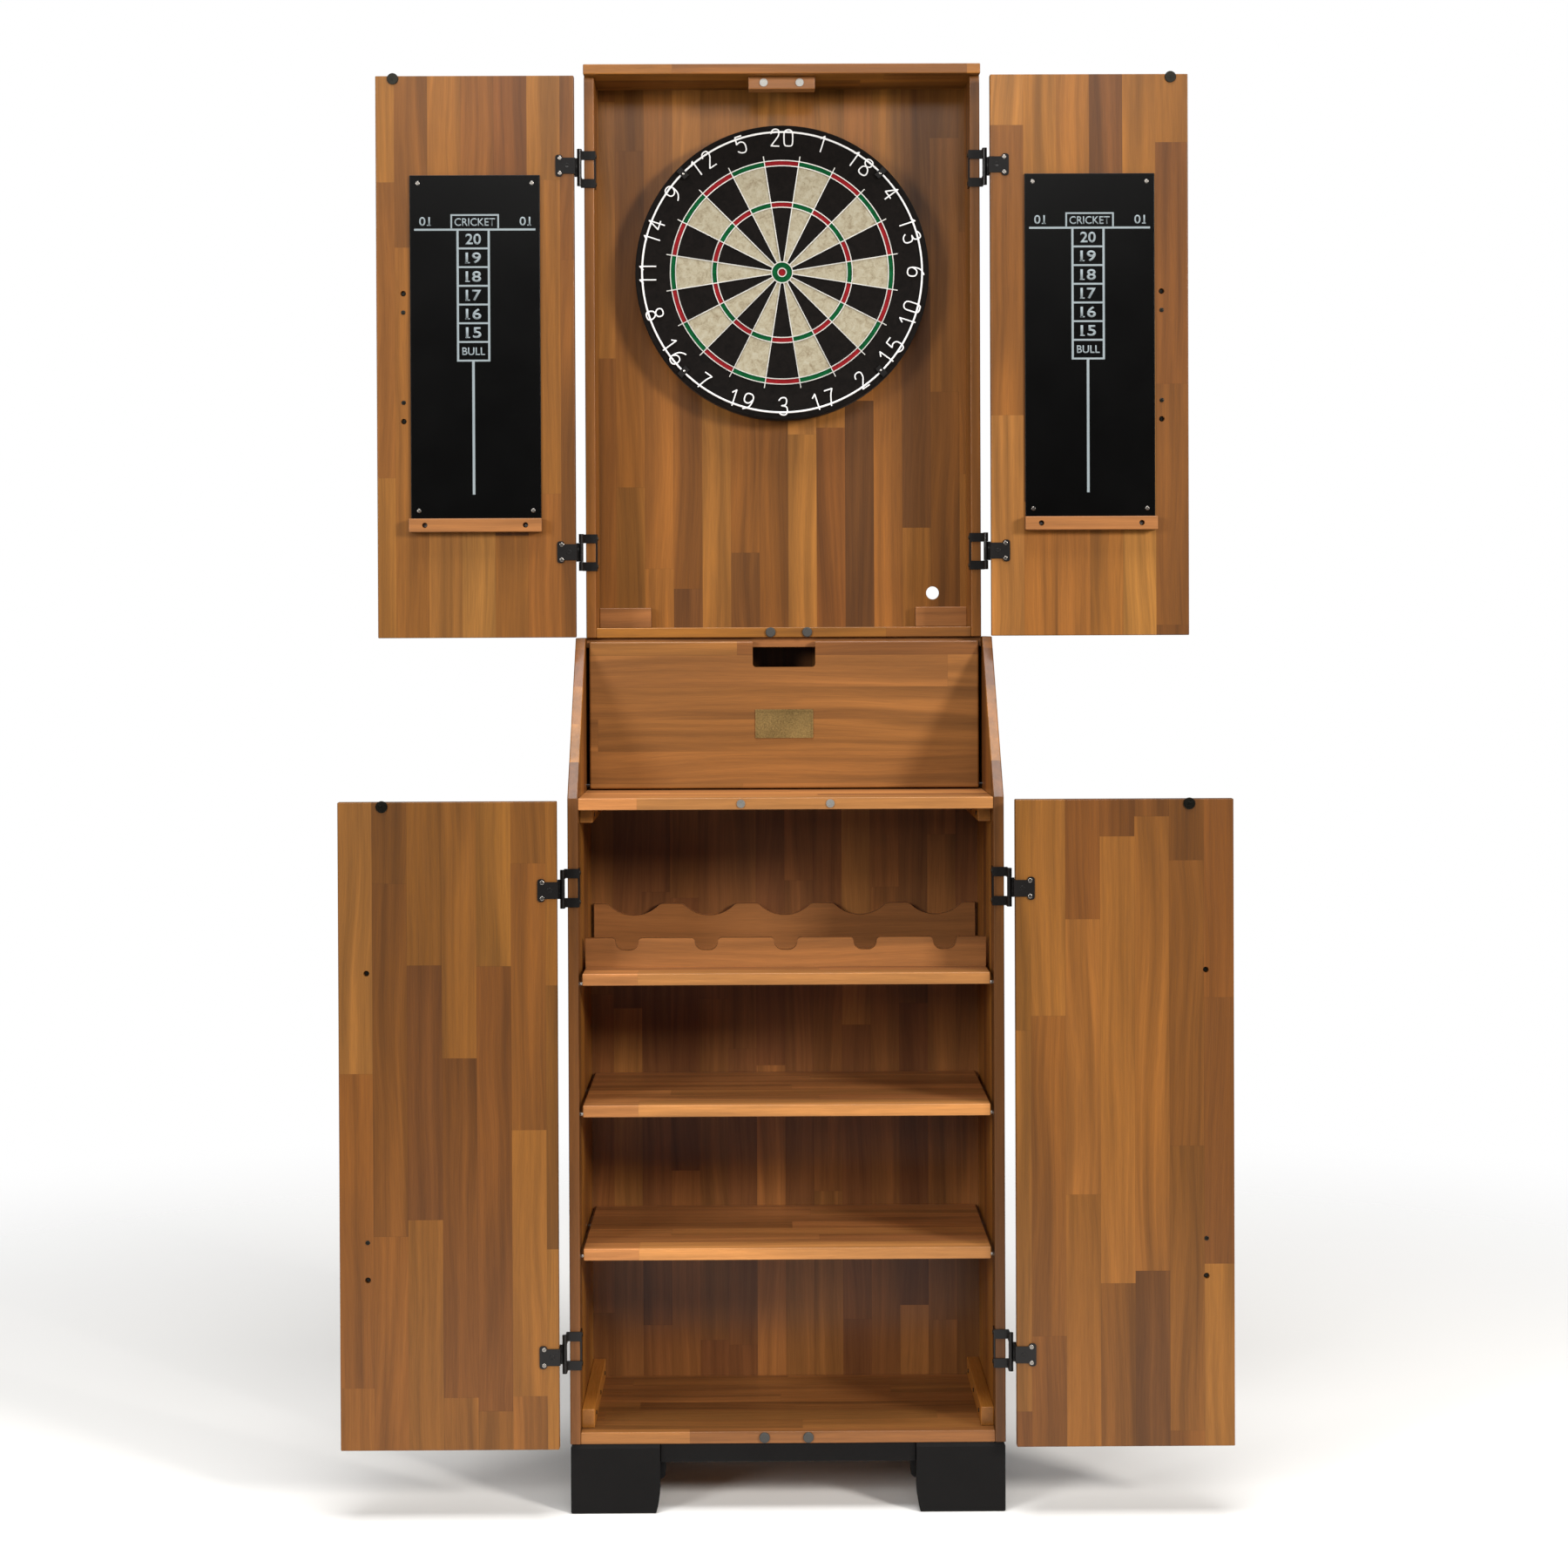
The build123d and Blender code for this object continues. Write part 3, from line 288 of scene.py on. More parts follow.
def sisal_face(name, centre, rings):
    """Pressed sisal, dyed in twenty sectors: black and natural beds, red and green scoring rings."""
    material, tree, output = new_material(name)
    place = add(tree, "ShaderNodeTexCoord", out=3)
    from_bull = add(tree, "ShaderNodeVectorMath", {"operation": "SUBTRACT"},
                    {0: place, 1: (centre.x, 0, centre.z)})
    axes = tree.nodes.new("ShaderNodeSeparateXYZ")
    tree.links.new(from_bull, axes.inputs[0])
    flat = add(tree, "ShaderNodeCombineXYZ", inputs={0: axes.outputs[0], 1: axes.outputs[2]})
    radius = add(tree, "ShaderNodeVectorMath", {"operation": "LENGTH"}, {0: flat}, out=1)
    turn = add(tree, "ShaderNodeMath", {"operation": "ARCTAN2"}, {0: axes.outputs[0], 1: axes.outputs[2]})
    sector = add(tree, "ShaderNodeMath", {"operation": "MULTIPLY_ADD"}, {0: turn, 1: 20 / math.tau, 2: 20.5})
    whole = add(tree, "ShaderNodeMath", {"operation": "FLOOR"}, {0: sector})
    odd = add(tree, "ShaderNodeMath", {"operation": "MODULO"}, {0: whole, 1: 2.0})

    # tufts about 12 mm wide, broken up by bundles of fibre ends from 2.4 mm down
    bundles = add(tree, "ShaderNodeTexNoise", inputs={
        "Vector": place, "Scale": FIBRES_PER_MM / MM, "Detail": 4.0, "Roughness": 0.7})
    tufts = add(tree, "ShaderNodeTexNoise", inputs={
        "Vector": place, "Scale": TUFTS_PER_MM / MM, "Detail": 4.0, "Roughness": 0.65, "Distortion": 0.8})
    fine = add(tree, "ShaderNodeMath", {"operation": "MULTIPLY"}, {0: bundles, 1: 0.35})
    mottle = add(tree, "ShaderNodeMath", {"operation": "MULTIPLY_ADD"}, {0: tufts, 1: 0.65, 2: fine})
    dyed = {dye: add(tree, "ShaderNodeValToRGB", {"stops": stops}, {0: mottle})
            for dye, stops in SISAL_DYES.items()}
    mixing = {"data_type": "RGBA"}
    colour = add(tree, "ShaderNodeMix", mixing, {0: odd, 6: dyed["black"], 7: dyed["natural"]}, out=2)
    dyed["scoring"] = add(tree, "ShaderNodeMix", mixing, {0: odd, 6: dyed["red"], 7: dyed["green"]}, out=2)
    for inner, outer, dye in rings:
        above = add(tree, "ShaderNodeMath", {"operation": "GREATER_THAN"}, {0: radius, 1: inner * MM})
        below = add(tree, "ShaderNodeMath", {"operation": "LESS_THAN"}, {0: radius, 1: outer * MM})
        inside = add(tree, "ShaderNodeMath", {"operation": "MULTIPLY"}, {0: above, 1: below})
        colour = add(tree, "ShaderNodeMix", mixing, {0: inside, 6: colour, 7: dyed[dye]}, out=2)
    bump = add(tree, "ShaderNodeBump", inputs={"Strength": 0.5, "Distance": 0.4 * MM, "Height": mottle})
    shader = add(tree, "ShaderNodeBsdfPrincipled", inputs={
        "Base Color": colour, "Roughness": 0.9, "Specular IOR Level": 0.12, "Sheen Weight": 0.02,
        "Normal": bump})
    tree.links.new(shader, output.inputs[0])
    return material


# acacia panels: the staves of the doors, backs and sides stand up, those of the shelves lie across
door_wood = acacia("acacia_door_panel", "Z", "X", start=2.8, seed=3.0, value=0.55)
# the upper doors get a lighter copy of the same door wood: painted light, standing in for the light that
# falls more on the upper part of the cabinet; the lower doors keep the darker one
lit_upper_door_wood = acacia("acacia_upper_door_panel_painted_light", "Z", "X", start=14.0, seed=4.0, value=0.70)
back_wood = acacia("acacia_back_panel", "Z", "X", stave=44, start=8.0, seed=11.0, value=0.71)
cupboard_back_wood = acacia("acacia_cupboard_back", "Z", "X", stave=44, tones=WALNUT, seed=17.0,
                            value=1.3, spread=0.75)
side_wood = acacia("acacia_side_panel", "Z", "Y", board=1800, seed=5.0, value=0.86)
shelf_wood = acacia("acacia_shelf", "X", "Y", stave=48, board=620, seed=8.0, value=1.4, spread=0.6,
                    saturation=0.93)
floor_wood = acacia("acacia_floor_board", "X", "Y", stave=48, board=620, start=19.0, seed=13.0, value=0.8,
                    spread=0.6, saturation=0.95)
top_wood = acacia("acacia_top_board", "X", "Y", stave=48, board=620, seed=9.0, value=0.84, spread=0.6)
flap_wood = acacia("acacia_flap", "X", "Z", stave=48, board=1100, start=29.2, seed=21.0, value=0.84,
                   spread=0.55, saturation=0.96)
# solid acacia rails and blocks, one stave each
rail_wood = acacia("acacia_rail", "X", "Z", stave=4000, board=12000, start=-500, seed=2.0, contrast=0.7,
                   value=1.3, saturation=0.94)
cleat_wood = acacia("acacia_cleat", "Y", "X", stave=4000, board=12000, start=-2000, seed=6.0, contrast=0.7,
                    value=1.1)
# soft wood under satin black paint, its grain just felt
black_paint = speckled("black_painted_pine", "#0b0a0a", "#100f0f", 3.0, 0.42, bump=0.12, gloss=0.12)
# stamped iron under baked black enamel: soft sheen, a faint orange-peel surface
black_iron = speckled("black_enamelled_iron", "#070606", "#110e0d", 1.5, 0.42, bump=0.25, gloss=0.2,
                      coat=0.25)
# forged iron of the pulls, wax finished: dark brown-black, dull, lightly hammered
pull_iron = speckled("waxed_wrought_iron", "#100e0d", "#1f1b18", 4.0, 0.5, metallic=0.4, bump=0.5)
# bright nickel on the shelf pins and the clips' rivets: clean light glints
nickel = speckled("nickel_plated_steel", "#a9a7a2", "#d2d0cb", 1.0, 0.28, metallic=1.0)
# smoky bright plating of the hinge and board screws: small grey glints
black_nickel = speckled("black_nickel_plated_steel", "#85807b", "#a8a39d", 1.0, 0.25, metallic=1.0)
# browned steel of the small sunk screws and strikes: nearly black with a warm glint
browned = speckled("browned_steel", "#1d1c18", "#302e28", 1.2, 0.3, metallic=0.8)
# nickel on sintered magnet discs: greyer and cloudier than on steel
magnet_steel = speckled("nickel_plated_magnet", "#8f8e8a", "#b4b2ad", 1.2, 0.35, metallic=0.7)
# moulded rubber of the bumpers and pads: dark grey, no gloss
rubber = speckled("black_rubber", "#2b2a28", "#3b3a37", 1.5, 0.7, bump=0.15)
# black melamine on board: smooth, its sheen only where a light meets it
laminate = speckled("black_melamine", "#020202", "#040404", 0.8, 0.24, bump=0.03, gloss=0.12, spread=0.04)
# screen-printed ink, thin and matt: a pale blue-grey
print_ink = speckled("pale_screen_print_ink", "#7d888d", "#8d979b", 1.0, 0.6, bump=0.05, gloss=0.3)
# galvanised wire of the spider: pale, half metallic
wire_steel = speckled("galvanised_wire", "#bdbbb6", "#dedcd6", 1.0, 0.35, metallic=0.6)
# number wire under white powder coat: clean white, a little gloss
white_wire = speckled("white_coated_wire", "#d9dadb", "#f2f2f1", 1.5, 0.45)
# stained chipboard behind the sisal: rough, dark brown-black
chipboard = speckled("black_stained_chipboard", "#0f0d0c", "#241f1b", 2.5, 0.8, bump=0.4)
# cast brass, browned in the low places: uneven, softly shining
brass = speckled("antiqued_brass", "#6f5a36", "#a48752", 2.2, 0.38, metallic=0.75, bump=0.5)

face_low, face_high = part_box("dartboard_face")
bull_centre = (face_low + face_high) / 2
# inner and outer radius of each ring in millimetres, and its dye
sisal = sisal_face("dyed_sisal", bull_centre, (
    (162, 170, "scoring"), (99, 107, "scoring"), (170, 400, "black"),
    (6.35, 15.9, "green"), (-1, 6.35, "red")))

finishes = {
    "lower_right_side": side_wood, "lower_left_side": side_wood,
    "upper_right_side": side_wood, "upper_left_side": side_wood,
    "lower_back": cupboard_back_wood, "upper_back": back_wood,
    "counter_top": shelf_wood, "bottom_board": floor_wood, "wine_rack_shelf": shelf_wood,
    "shelves": shelf_wood, "bin_top_board": shelf_wood, "upper_top": top_wood, "upper_bottom": top_wood,
    "wine_rack_front": rail_wood, "wine_rack_rear": rail_wood, "corner_blocks": rail_wood,
    "catch_block": rail_wood, "cleats": cleat_wood, "flap_panel": flap_wood, "flap_nameplate": brass,
    "base_feet": black_paint, "base_rails": black_paint,
    "shelf_pins": nickel, "door_magnets": magnet_steel, "door_bumpers": rubber,
    "hinge_brackets": black_iron, "pivot_pins": black_iron, "carcass_screws": browned,
    "dartboard_bracket": black_iron, "dartboard_face": sisal, "dartboard_backing": chipboard,
    "dartboard_spider": wire_steel, "dartboard_number_ring": white_wire, "number_ring_clips": black_iron,
    "dartboard_centre_bolt": browned, "dartboard_wall_pads": rubber,
}
door_finishes = {"panel": door_wood, "hinge_leaves": black_iron, "strike": browned, "pull": pull_iron,
                 "screws": nickel, "scoreboard": laminate, "ledge": rail_wood}
for name in nodes:
    if "_door_" in name:
        finishes.setdefault(name, door_finishes.get(name.split("_door_")[1]))
# the upper door panels take the lighter copy of the door wood, painted light
for side in ("left", "right"):
    finishes[f"upper_{side}_door_panel"] = lit_upper_door_wood
for name, cad_node in nodes.items():
    painted(cad_node, finishes[name])


# ---- screws -----------------------------------------------------------------------------
HEAD_HEIGHT = 1.2 * MM
HEAD_ROUND = 0.7 * HEAD_HEIGHT
CROSS_WIDTH = 0.9 * MM
CROSS_SPAN = 1.25                 # to the radius of the head
SHANK = 0.48                      # to the radius of the head
screw_shapes = {}


def screw_shape(head_radius, length):
    """A pan-head screw with a cross recess, its head above the origin and facing +Z."""
    key = (round(head_radius / MM, 1), round(length / MM))
    if key in screw_shapes:
        return screw_shapes[key]
    deselect()
    bpy.ops.mesh.primitive_cylinder_add(vertices=24, radius=head_radius, depth=HEAD_HEIGHT,
                                        location=(0, 0, HEAD_HEIGHT / 2))
    screw = bpy.context.object
    bpy.ops.object.transform_apply(location=True)
    bpy.ops.object.mode_set(mode="EDIT")
    select_facing(screw, Vector((0, 0, 1)))
    bpy.ops.mesh.bevel(offset=HEAD_ROUND, segments=3)
    select_facing(screw, Vector((0, 0, -1)))
    bpy.ops.mesh.inset(thickness=head_radius * (1 - SHANK))
    bpy.ops.mesh.extrude_region_move(TRANSFORM_OT_translate={"value": (0, 0, -length)})
    bpy.ops.object.mode_set(mode="OBJECT")
    for turn in (0, math.pi / 2):
        bpy.ops.mesh.primitive_cube_add(size=1, location=(0, 0, HEAD_HEIGHT), rotation=(0, 0, turn))
        bit = bpy.context.object
        bit.scale = (head_radius * CROSS_SPAN, CROSS_WIDTH, HEAD_HEIGHT)
        work_on(screw)
        recess = screw.modifiers.new("recess", "BOOLEAN")
        recess.operation = "DIFFERENCE"
        recess.object = bit
        bpy.ops.object.modifier_apply(modifier="recess")
        bpy.data.objects.remove(bit)
    screw_shapes[key] = screw
    return screw


def loose_parts(node_name):
    """The corners of each separate solid of a CAD node."""
    work_on(copied(nodes[node_name]))
    bpy.ops.object.mode_set(mode="EDIT")
    bpy.ops.mesh.select_all(action="SELECT")
    bpy.ops.mesh.remove_doubles(threshold=0.001 * MM)
    bpy.ops.mesh.separate(type="LOOSE")
    bpy.ops.object.mode_set(mode="OBJECT")
    corners = []
    for part in list(bpy.context.selected_objects):
        corners.append(corners_of(part))
        bpy.data.objects.remove(part)
    return sorted(corners, key=lambda box: tuple(round(c, 5) for c in box[0]))


def fit_screws(node_name, body, choose_finish):
    """Cross-head screws in place of a CAD node's plain ones, one mesh for each finish."""
    groups = {}
    for low, high in loose_parts(node_name):
        size, middle = high - low, (low + high) / 2
        if size.y > size.x:
            outward, tip = Vector((0, -1, 0)), Vector((middle.x, low.y, middle.z))
            turn = Matrix.Rotation(math.pi / 2, 4, "X")
        else:
            side = -1 if middle.x > 0 else 1
            outward, tip = Vector((side, 0, 0)), Vector((low.x if side < 0 else high.x, middle.y, middle.z))
            turn = Matrix.Rotation(side * math.pi / 2, 4, "Y")
        length = max(size.x, size.y) - HEAD_HEIGHT
        shape = screw_shape(size.z / 2, length)
        twist = Matrix.Rotation(twists.uniform(0, math.pi), 4, "Z")
        place = Matrix.Translation(tip - outward * HEAD_HEIGHT) @ turn @ twist
        groups.setdefault(choose_finish(tip), []).append(copied(shape, place))
    for finish, copies in groups.items():
        label = node_name if len(groups) == 1 else f"{node_name}_{finish.name}"
        piece = painted(joined(copies, f"{label}_cross_head"), finish)
        bpy.ops.object.shade_smooth_by_angle(angle=math.radians(35))
        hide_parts(node_name)
        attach(piece, body)


def door_screw_finish(door):
    """Chooses plated screws for hinges and scoring board, browned ones for the strike and the pull."""
    strike_low, strike_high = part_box(f"{door}_strike")
    pull_low, pull_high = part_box(f"{door}_pull")

    def finish_of(tip):
        in_strike = strike_low.x < tip.x < strike_high.x and strike_low.z < tip.z < strike_high.z
        return browned if in_strike or pull_low.x < tip.x < pull_high.x else black_nickel

    return finish_of


twists = random.Random(7)
for level in ("upper", "lower"):
    for side in ("left", "right"):
        door = f"{level}_{side}_door"
        fit_screws(f"{door}_screws", door, door_screw_finish(door))
fit_screws("carcass_screws", "carcass", lambda tip: browned)
for shape in screw_shapes.values():
    bpy.data.objects.remove(shape)


# ---- hinge webs and rivets ---------------------------------------------------------------
KNUCKLE = 3.4 * MM                # radius of the eye round the hinge pin
WEB_REACH = 6.0 * MM              # from the hinge axis into the leaf's bend
WEB_THICKNESS = 1.8 * MM
WEB_HEIGHT = 13.2 * MM
WEB_EASE = 0.3 * MM
WEB_SUNK = 0.51 * MM              # into the eye at one end and into the leaf at the other
LEAF_RIVET = (3.6 * MM, 0.5 * MM)  # radius and rise
LEAF_RIVET_PLACE = 0.38           # from the leaf's bend to its tip
RIM_ROUND = 0.9                   # to the rise of a rivet head
RIM_WIDTH = 0.3                   # round the dish, to the radius of a rivet head
DISH_DEPTH = 0.4                  # to the rise of a rivet head


def eased_web():
    """The strip that closes the slot between a leaf and its eye, its edges eased."""
    deselect()
    bpy.ops.mesh.primitive_cube_add(size=1)
    web = bpy.context.object
    web.scale = (WEB_REACH - KNUCKLE + 2 * WEB_SUNK, WEB_THICKNESS, WEB_HEIGHT)
    bpy.ops.object.transform_apply(scale=True)
    bpy.ops.object.mode_set(mode="EDIT")
    bpy.ops.mesh.select_all(action="SELECT")
    bpy.ops.mesh.bevel(offset=WEB_EASE, segments=2)
    bpy.ops.object.mode_set(mode="OBJECT")
    return web


def rivet_head(radius, rise):
    """A low rivet head on the origin, facing -Y: its rim rolled over, its middle dished by the set."""
    deselect()
    bpy.ops.mesh.primitive_cylinder_add(vertices=28, radius=radius, depth=rise * 2,
                                        rotation=(math.pi / 2, 0, 0))
    rivet = bpy.context.object
    bpy.ops.object.transform_apply(rotation=True)
    bpy.ops.object.mode_set(mode="EDIT")
    select_facing(rivet, Vector((0, -1, 0)))
    bpy.ops.mesh.bevel(offset=rise * RIM_ROUND, segments=4)
    select_facing(rivet, Vector((0, -1, 0)))
    bpy.ops.mesh.inset(thickness=radius * RIM_WIDTH)
    bpy.ops.transform.translate(value=(0, rise * DISH_DEPTH, 0))
    bpy.ops.object.mode_set(mode="OBJECT")
    return rivet


web_shape = eased_web()
leaf_rivet_shape = rivet_head(*LEAF_RIVET)
for level in ("upper", "lower"):
    for side, outward in (("left", -1), ("right", 1)):
        details = []
        for leaf_low, leaf_high in loose_parts(f"{level}_{side}_door_hinge_leaves"):
            eye_end, tip_end = (leaf_high.x, leaf_low.x) if outward < 0 else (leaf_low.x, leaf_high.x)
            axis_x, axis_y = eye_end + outward * KNUCKLE, leaf_high.y - KNUCKLE
            middle_z = (leaf_low.z + leaf_high.z) / 2
            web_x = axis_x + outward * (WEB_REACH + KNUCKLE) / 2
            bend = axis_x + outward * WEB_REACH
            rivet_x = bend + (tip_end - bend) * LEAF_RIVET_PLACE
            details.append(copied(web_shape, Matrix.Translation((web_x, axis_y, middle_z))))
            details.append(copied(leaf_rivet_shape, Matrix.Translation((rivet_x, leaf_low.y, middle_z))))
        hinge_detail = painted(joined(details, f"{level}_{side}_door_hinge_webs_and_rivets"), black_iron)
        bpy.ops.object.shade_smooth_by_angle(angle=math.radians(40))
        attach(hinge_detail, f"{level}_{side}_door")
bpy.data.objects.remove(web_shape)
bpy.data.objects.remove(leaf_rivet_shape)


# ---- wire numbers of the dartboard --------------------------------------------------------
# Each digit is one bent wire, its height 1 and its foot at the origin; a doubled point is a sharp bend.
STROKES = {
    "0": ((0.25, 1.0), (0.5, 0.98), (0.52, 0.5), (0.5, 0.02), (0.25, 0.0), (0.0, 0.02), (-0.02, 0.5),
          (0.0, 0.98), (0.25, 1.0)),
    "1": ((0.0, 0.78), (0.22, 1.0), (0.22, 1.0), (0.22, 0.0)),
    "2": ((0.02, 0.74), (0.04, 1.02), (0.5, 1.04), (0.5, 0.66), (0.3, 0.4), (0.02, 0.02), (0.02, 0.02),
          (0.52, 0.0)),
    "3": ((0.02, 0.84), (0.1, 1.03), (0.5, 1.04), (0.48, 0.58), (0.18, 0.54), (0.18, 0.54), (0.54, 0.5),
          (0.54, -0.02), (0.1, -0.03), (0.0, 0.18)),
    "4": ((0.36, 0.0), (0.36, 1.0), (0.36, 1.0), (0.0, 0.32), (0.0, 0.32), (0.54, 0.32)),
    "5": ((0.48, 1.0), (0.08, 1.0), (0.08, 1.0), (0.04, 0.56), (0.04, 0.56), (0.3, 0.68), (0.56, 0.52),
          (0.52, -0.04), (0.12, -0.02), (0.0, 0.14)),
    "6": ((0.44, 0.98), (0.1, 0.84), (-0.04, 0.36), (0.02, -0.02), (0.5, -0.04), (0.54, 0.5), (0.12, 0.58),
          (0.0, 0.3)),
    "7": ((0.0, 1.0), (0.5, 1.0), (0.5, 1.0), (0.28, 0.6), (0.16, 0.0)),
    "8": ((0.25, 0.55), (0.0, 0.64), (0.02, 1.02), (0.48, 1.02), (0.5, 0.64), (0.25, 0.55), (0.02, 0.46),
          (-0.04, -0.02), (0.54, -0.02), (0.48, 0.46), (0.25, 0.55)),
    "9": ((0.5, 0.7), (0.4, 0.42), (-0.02, 0.46), (0.0, 1.04), (0.5, 1.02), (0.54, 0.6), (0.4, 0.16),
          (0.06, 0.02)),
}
NUMBERS = (20, 1, 18, 4, 13, 6, 10, 15, 2, 17, 3, 19, 7, 16, 8, 11, 14, 9, 12, 5)
NUMBER_HEIGHT = 25 * MM
NUMBER_WIRE = 1.1 * MM
HEAD_OVERHANG = 2 * MM            # how far a number's head stands outside the ring
DIGIT_STEP = 0.82                 # from digit to digit, in number heights
DIGIT_WIDTH = 0.5                 # in number heights


def wire_number(number, centre, turn):
    """One number of bent wire standing at centre, its head turned clockwise from straight up."""
    curve = bpy.data.curves.new("number", "CURVE")
    curve.dimensions = "3D"
    curve.bevel_depth = NUMBER_WIRE
    curve.bevel_resolution = 2
    curve.use_fill_caps = True
    curve.resolution_u = 5
    digits = str(number)
    width = DIGIT_STEP * (len(digits) - 1) + DIGIT_WIDTH
    for place, digit in enumerate(digits):
        points = STROKES[digit]
        spline = curve.splines.new("NURBS")
        spline.points.add(len(points) - 1)
        for point, (x, y) in zip(spline.points, points):
            point.co = ((x + place * DIGIT_STEP - width / 2) * NUMBER_HEIGHT, 0,
                        (y - 0.5) * NUMBER_HEIGHT, 1)
        spline.order_u = 3
        spline.use_endpoint_u = True
    piece = bpy.data.objects.new("number", curve)
    bpy.context.scene.collection.objects.link(piece)
    piece.matrix_world = Matrix.Translation(centre) @ Matrix.Rotation(turn, 4, "Y")
    return piece


ring_low, ring_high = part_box("dartboard_number_ring")
ring_radius = (ring_high.x - ring_low.x) / 2
ring_plane = (ring_low.y + ring_high.y) / 2
reach = ring_radius - NUMBER_HEIGHT / 2 + HEAD_OVERHANG
wires = []
for step, number in enumerate(NUMBERS):
    angle = step * math.tau / len(NUMBERS)
    spot = Vector((math.sin(angle) * reach, ring_plane, bull_centre.z + math.cos(angle) * reach))
    upside = math.cos(angle) < -0.05            # the lower numbers are read from below
    wires.append(wire_number(number, spot, angle + (math.pi if upside else 0)))
deselect()
for wire in wires:
    wire.select_set(True)
bpy.context.view_layer.objects.active = wires[0]
bpy.ops.object.convert(target="MESH")
numbers = painted(joined(list(bpy.context.selected_objects), "dartboard_wire_numbers"), white_wire)
bpy.ops.object.shade_smooth_by_angle(angle=math.radians(60))
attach(numbers, "dartboard")

# the bright rivet heads of the four ring clips
CLIP_RIVET = (1.8 * MM, 0.8 * MM)  # radius and rise
CLIP_RIVET_INSET = 3 * MM         # inside the ring
clip_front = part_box("number_ring_clips")[0].y
clip_rivet_shape = rivet_head(*CLIP_RIVET)
clip_reach = ring_radius - CLIP_RIVET_INSET
rivets = []
for quarter in range(4):
    angle = math.radians(45 + 90 * quarter)
    rivets.append(copied(clip_rivet_shape, Matrix.Translation((
        math.sin(angle) * clip_reach, clip_front, bull_centre.z + math.cos(angle) * clip_reach))))
bpy.data.objects.remove(clip_rivet_shape)
rivet_heads = painted(joined(rivets, "number_ring_clip_rivets"), nickel)
bpy.ops.object.shade_smooth_by_angle(angle=math.radians(40))
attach(rivet_heads, "dartboard")


# ---- printing on the scoring boards ---------------------------------------------------------
PRINT_THICKNESS = 0.12 * MM


def printed_word(text, width, height, middle, weight):
    """A word of print facing -Y, stretched to its width and height, as a mesh."""
    deselect()
    bpy.ops.object.text_add()
    word = bpy.context.object
    word.data.body = text
    word.data.offset = weight
    word.data.resolution_u = 6
    bpy.ops.object.convert(target="MESH")
    word = bpy.context.object
    low, high = corners_of(word)
    stretch = (width * MM / (high.x - low.x), height * MM / (high.y - low.y), 1)
    centred = Matrix.Diagonal((*stretch, 1)) @ Matrix.Translation(-(low + high) / 2)
    word.matrix_world = Matrix.Translation(middle) @ Matrix.Rotation(math.pi / 2, 4, "X") @ centred
    return word


def printed_bar(x0, x1, z0, z1, face):
    """A printed line between two corners, facing -Y."""
    deselect()
    bpy.ops.mesh.primitive_plane_add(size=1, location=((x0 + x1) / 2, face, (z0 + z1) / 2),
                                     rotation=(math.pi / 2, 0, 0))
    bar = bpy.context.object
    bar.scale = (abs(x1 - x0), abs(z1 - z0), 1)
    return bar


# Measures of the print in millimetres, from the middle and the top edge of the board. A word has
# a width, a height and a weight, which fattens its strokes.
HEADER = dict(width=72, top=58, bottom=80, line=2.4, word_drop=0.6)
GRID = dict(middle=-2.5, width=49.5, bottom=276.5, line=3.2, cell_line=2.72, word_lift=1.28)
RULE = dict(width=180, top=79.3, bottom=82.3)
STEM = dict(middle=-3, width=3.8, bottom=474)
GRID_WORDS = ("20", "19", "18", "17", "16", "15", "BULL")
NUMBER_SIZE = (23, 16, 0.016)
BULL_SIZE = (34, 11.5, 0.01)
CRICKET_SIZE = (60, 11.5, 0.008)
CORNER_SIZE = (16, 13, 0.01)
CORNER = dict(out=74.5, down=68.5)
# Every 1 stands on a slab foot, placed from the left edge of a grid word or from the middle of a
# corner word.
SLAB = dict(middle=2.9, half=3.4, thickness=1.6)
CORNER_SLAB = dict(start=3.4, end=9.0, thickness=1.4)


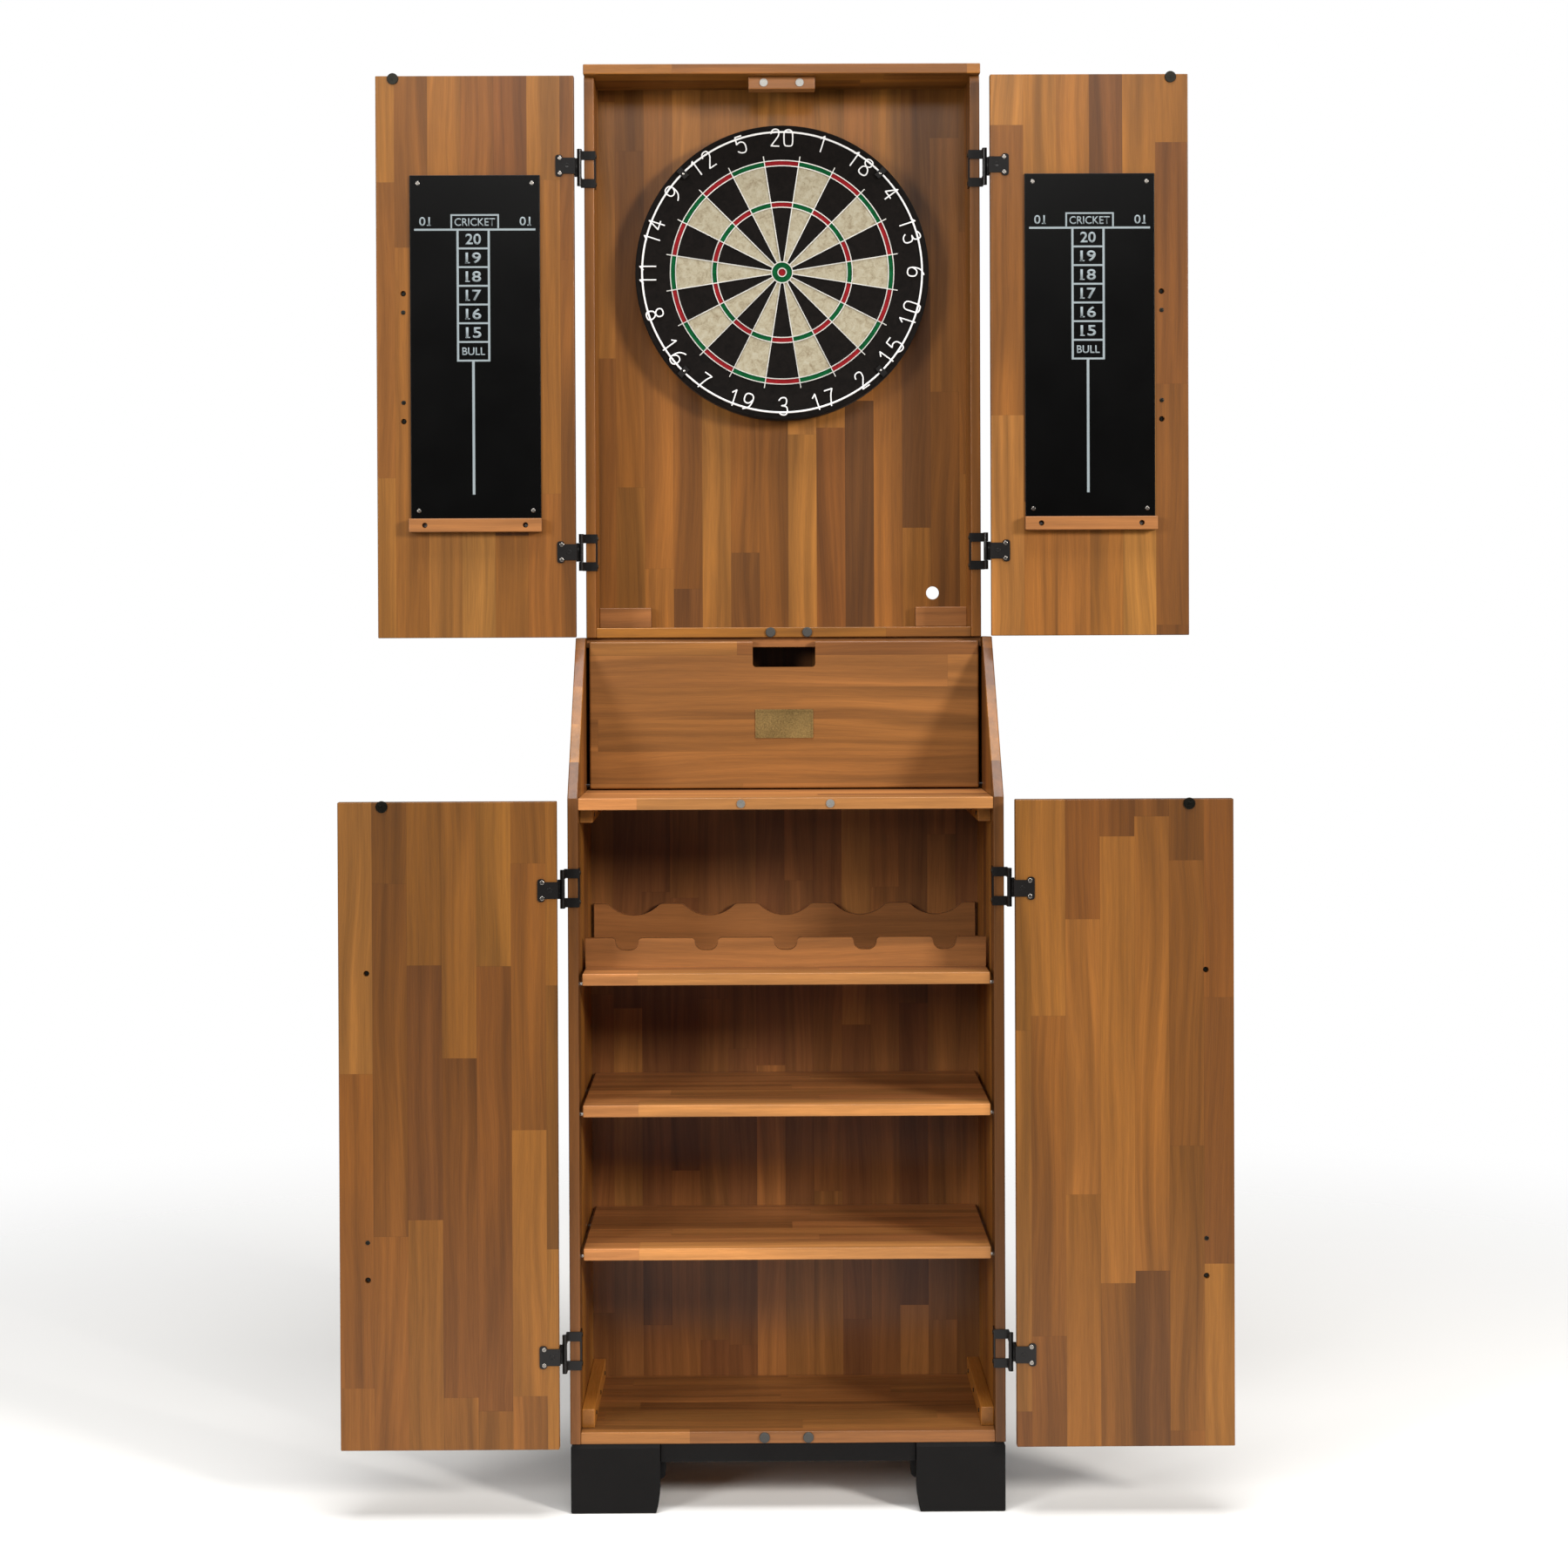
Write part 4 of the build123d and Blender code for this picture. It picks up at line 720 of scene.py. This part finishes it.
def print_scoreboard(door):
    """Frame, rule, seven cells and stem, with the plain words and numbers of a scoring board."""
    low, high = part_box(f"{door}_scoreboard")
    middle, top, face = (low.x + high.x) / 2, high.z, low.y - PRINT_THICKNESS / 2

    def bar(x0, x1, down0, down1):
        return printed_bar(middle + x0 * MM, middle + x1 * MM, top - down0 * MM, top - down1 * MM, face)

    def word(text, x, down, width, height, weight):
        return printed_word(text, width, height, Vector((middle + x * MM, face, top - down * MM)), weight)

    half = HEADER["width"] / 2
    line = HEADER["line"]
    under = HEADER["top"] + line
    marks = [bar(-half, half, HEADER["top"], under)]
    for side in (-1, 1):
        marks.append(bar(side * half, side * (half - line), under, HEADER["bottom"] - line / 2))
    marks.append(bar(-RULE["width"] / 2, RULE["width"] / 2, RULE["top"], RULE["bottom"]))
    centre = GRID["middle"]
    half = GRID["width"] / 2
    line = GRID["line"]
    for side in (-1, 1):
        marks.append(bar(centre + side * half, centre + side * (half - line), RULE["bottom"], GRID["bottom"]))
    pitch = (GRID["bottom"] - RULE["bottom"]) / len(GRID_WORDS)
    for cell, text in enumerate(GRID_WORDS):
        foot = RULE["bottom"] + (cell + 1) * pitch
        marks.append(bar(centre - half + line, centre + half - line, foot - GRID["cell_line"], foot))
        width, height, weight = BULL_SIZE if text == "BULL" else NUMBER_SIZE
        level = foot - pitch / 2 - GRID["word_lift"]
        marks.append(word(text, centre, level, width, height, weight))
        if text.startswith("1"):
            stem = centre - width / 2 + SLAB["middle"]
            base = level + height / 2
            marks.append(bar(stem - SLAB["half"], stem + SLAB["half"], base - SLAB["thickness"], base))
    half = STEM["width"] / 2
    marks.append(bar(STEM["middle"] - half, STEM["middle"] + half, GRID["bottom"], STEM["bottom"]))
    level = (HEADER["top"] + HEADER["bottom"]) / 2 + HEADER["word_drop"]
    marks.append(word("CRICKET", 0, level, *CRICKET_SIZE))
    base = CORNER["down"] + CORNER_SIZE[1] / 2
    for side in (-1, 1):
        place = side * CORNER["out"]
        marks.append(word("01", place, CORNER["down"], *CORNER_SIZE))
        marks.append(bar(place + CORNER_SLAB["start"], place + CORNER_SLAB["end"],
                         base - CORNER_SLAB["thickness"], base))
    print_piece = painted(joined(marks, f"{door}_score_print"), print_ink)
    thick = print_piece.modifiers.new("thickness", "SOLIDIFY")
    thick.thickness = PRINT_THICKNESS
    thick.offset = 0
    bpy.ops.object.modifier_apply(modifier="thickness")
    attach(print_piece, door)


print_scoreboard("upper_left_door")
print_scoreboard("upper_right_door")


# ---- studio -----------------------------------------------------------------------------
def fading_floor(name, colour, solid, gone):
    """Pale matt floor that melts into the white air between two distances in metres."""
    material, tree, output = new_material(name)
    place = add(tree, "ShaderNodeTexCoord", out=3)
    distance = add(tree, "ShaderNodeVectorMath", {"operation": "LENGTH"}, {0: place}, out=1)
    fade = add(tree, "ShaderNodeMapRange", {"interpolation_type": "SMOOTHSTEP"},
               {0: distance, 1: solid, 2: gone})
    paint = add(tree, "ShaderNodeBsdfDiffuse", inputs={"Color": linear(colour)})
    clear = add(tree, "ShaderNodeBsdfTransparent")
    tree.links.new(add(tree, "ShaderNodeMixShader", inputs={0: fade, 1: paint, 2: clear}), output.inputs[0])
    return material


deselect()
bpy.ops.mesh.primitive_plane_add(size=8, location=(0, 0, cad_low.z))
floor = bpy.context.object
floor.name = "studio_floor"
painted(floor, fading_floor("matt_floor_paint", "#f6f5f3", 1.0, 3.2))


def area_light(name, location, target, size, power, colour):
    """A softbox of a width and a height, aimed at a point."""
    deselect()
    bpy.ops.object.light_add(type="AREA", location=location)
    lamp = bpy.context.object
    lamp.name = name
    lamp.data.shape = "RECTANGLE"
    lamp.data.size, lamp.data.size_y = size
    lamp.data.energy = power
    lamp.data.color = linear(colour)[:3]
    lamp.rotation_euler = (Vector(target) - Vector(location)).to_track_quat("-Z", "Y").to_euler()


mid_height = (0, 0, 1.1)
area_light("key_softbox", (4.2, -4.6, 2.8), mid_height, (1.1, 1.1), 330, "#fffaf4")
area_light("fill_softbox", (-3.7, -4.8, 2.4), mid_height, (1.7, 1.7), 185, "#fffdfa")
area_light("front_softbox", (0, -4.9, 3.3), mid_height, (2.6, 1.0), 40, "#fffdfa")
area_light("top_softbox", (0, -1.6, 7.0), (0, 0, 1.3), (3.5, 3.5), 420, "#ffffff")

AIR_LIGHT = 0.10              # light that comes from all round; the air itself looks white
world = bpy.data.worlds.new("studio_air")
bpy.context.scene.world = world
world.use_nodes = True
air = world.node_tree
air.nodes["Background"].inputs["Color"].default_value = linear("#ffffff")
seen = add(air, "ShaderNodeLightPath")
strength = add(air, "ShaderNodeMapRange", inputs={0: seen, 3: AIR_LIGHT, 4: 1.0})
air.links.new(strength, air.nodes["Background"].inputs["Strength"])
bpy.context.scene.view_settings.view_transform = "Standard"

camera_data = bpy.data.cameras.new("camera")
camera_data.sensor_width = 36
camera_data.lens = 67.40
camera_data.shift_y = -0.08
camera = bpy.data.objects.new("camera", camera_data)
bpy.context.scene.collection.objects.link(camera)
camera.location = (-0.0305, -4.3436, 1.2693)
camera.rotation_euler = [math.radians(a) for a in (89.411, 0.238, -0.399)]
bpy.context.scene.camera = camera
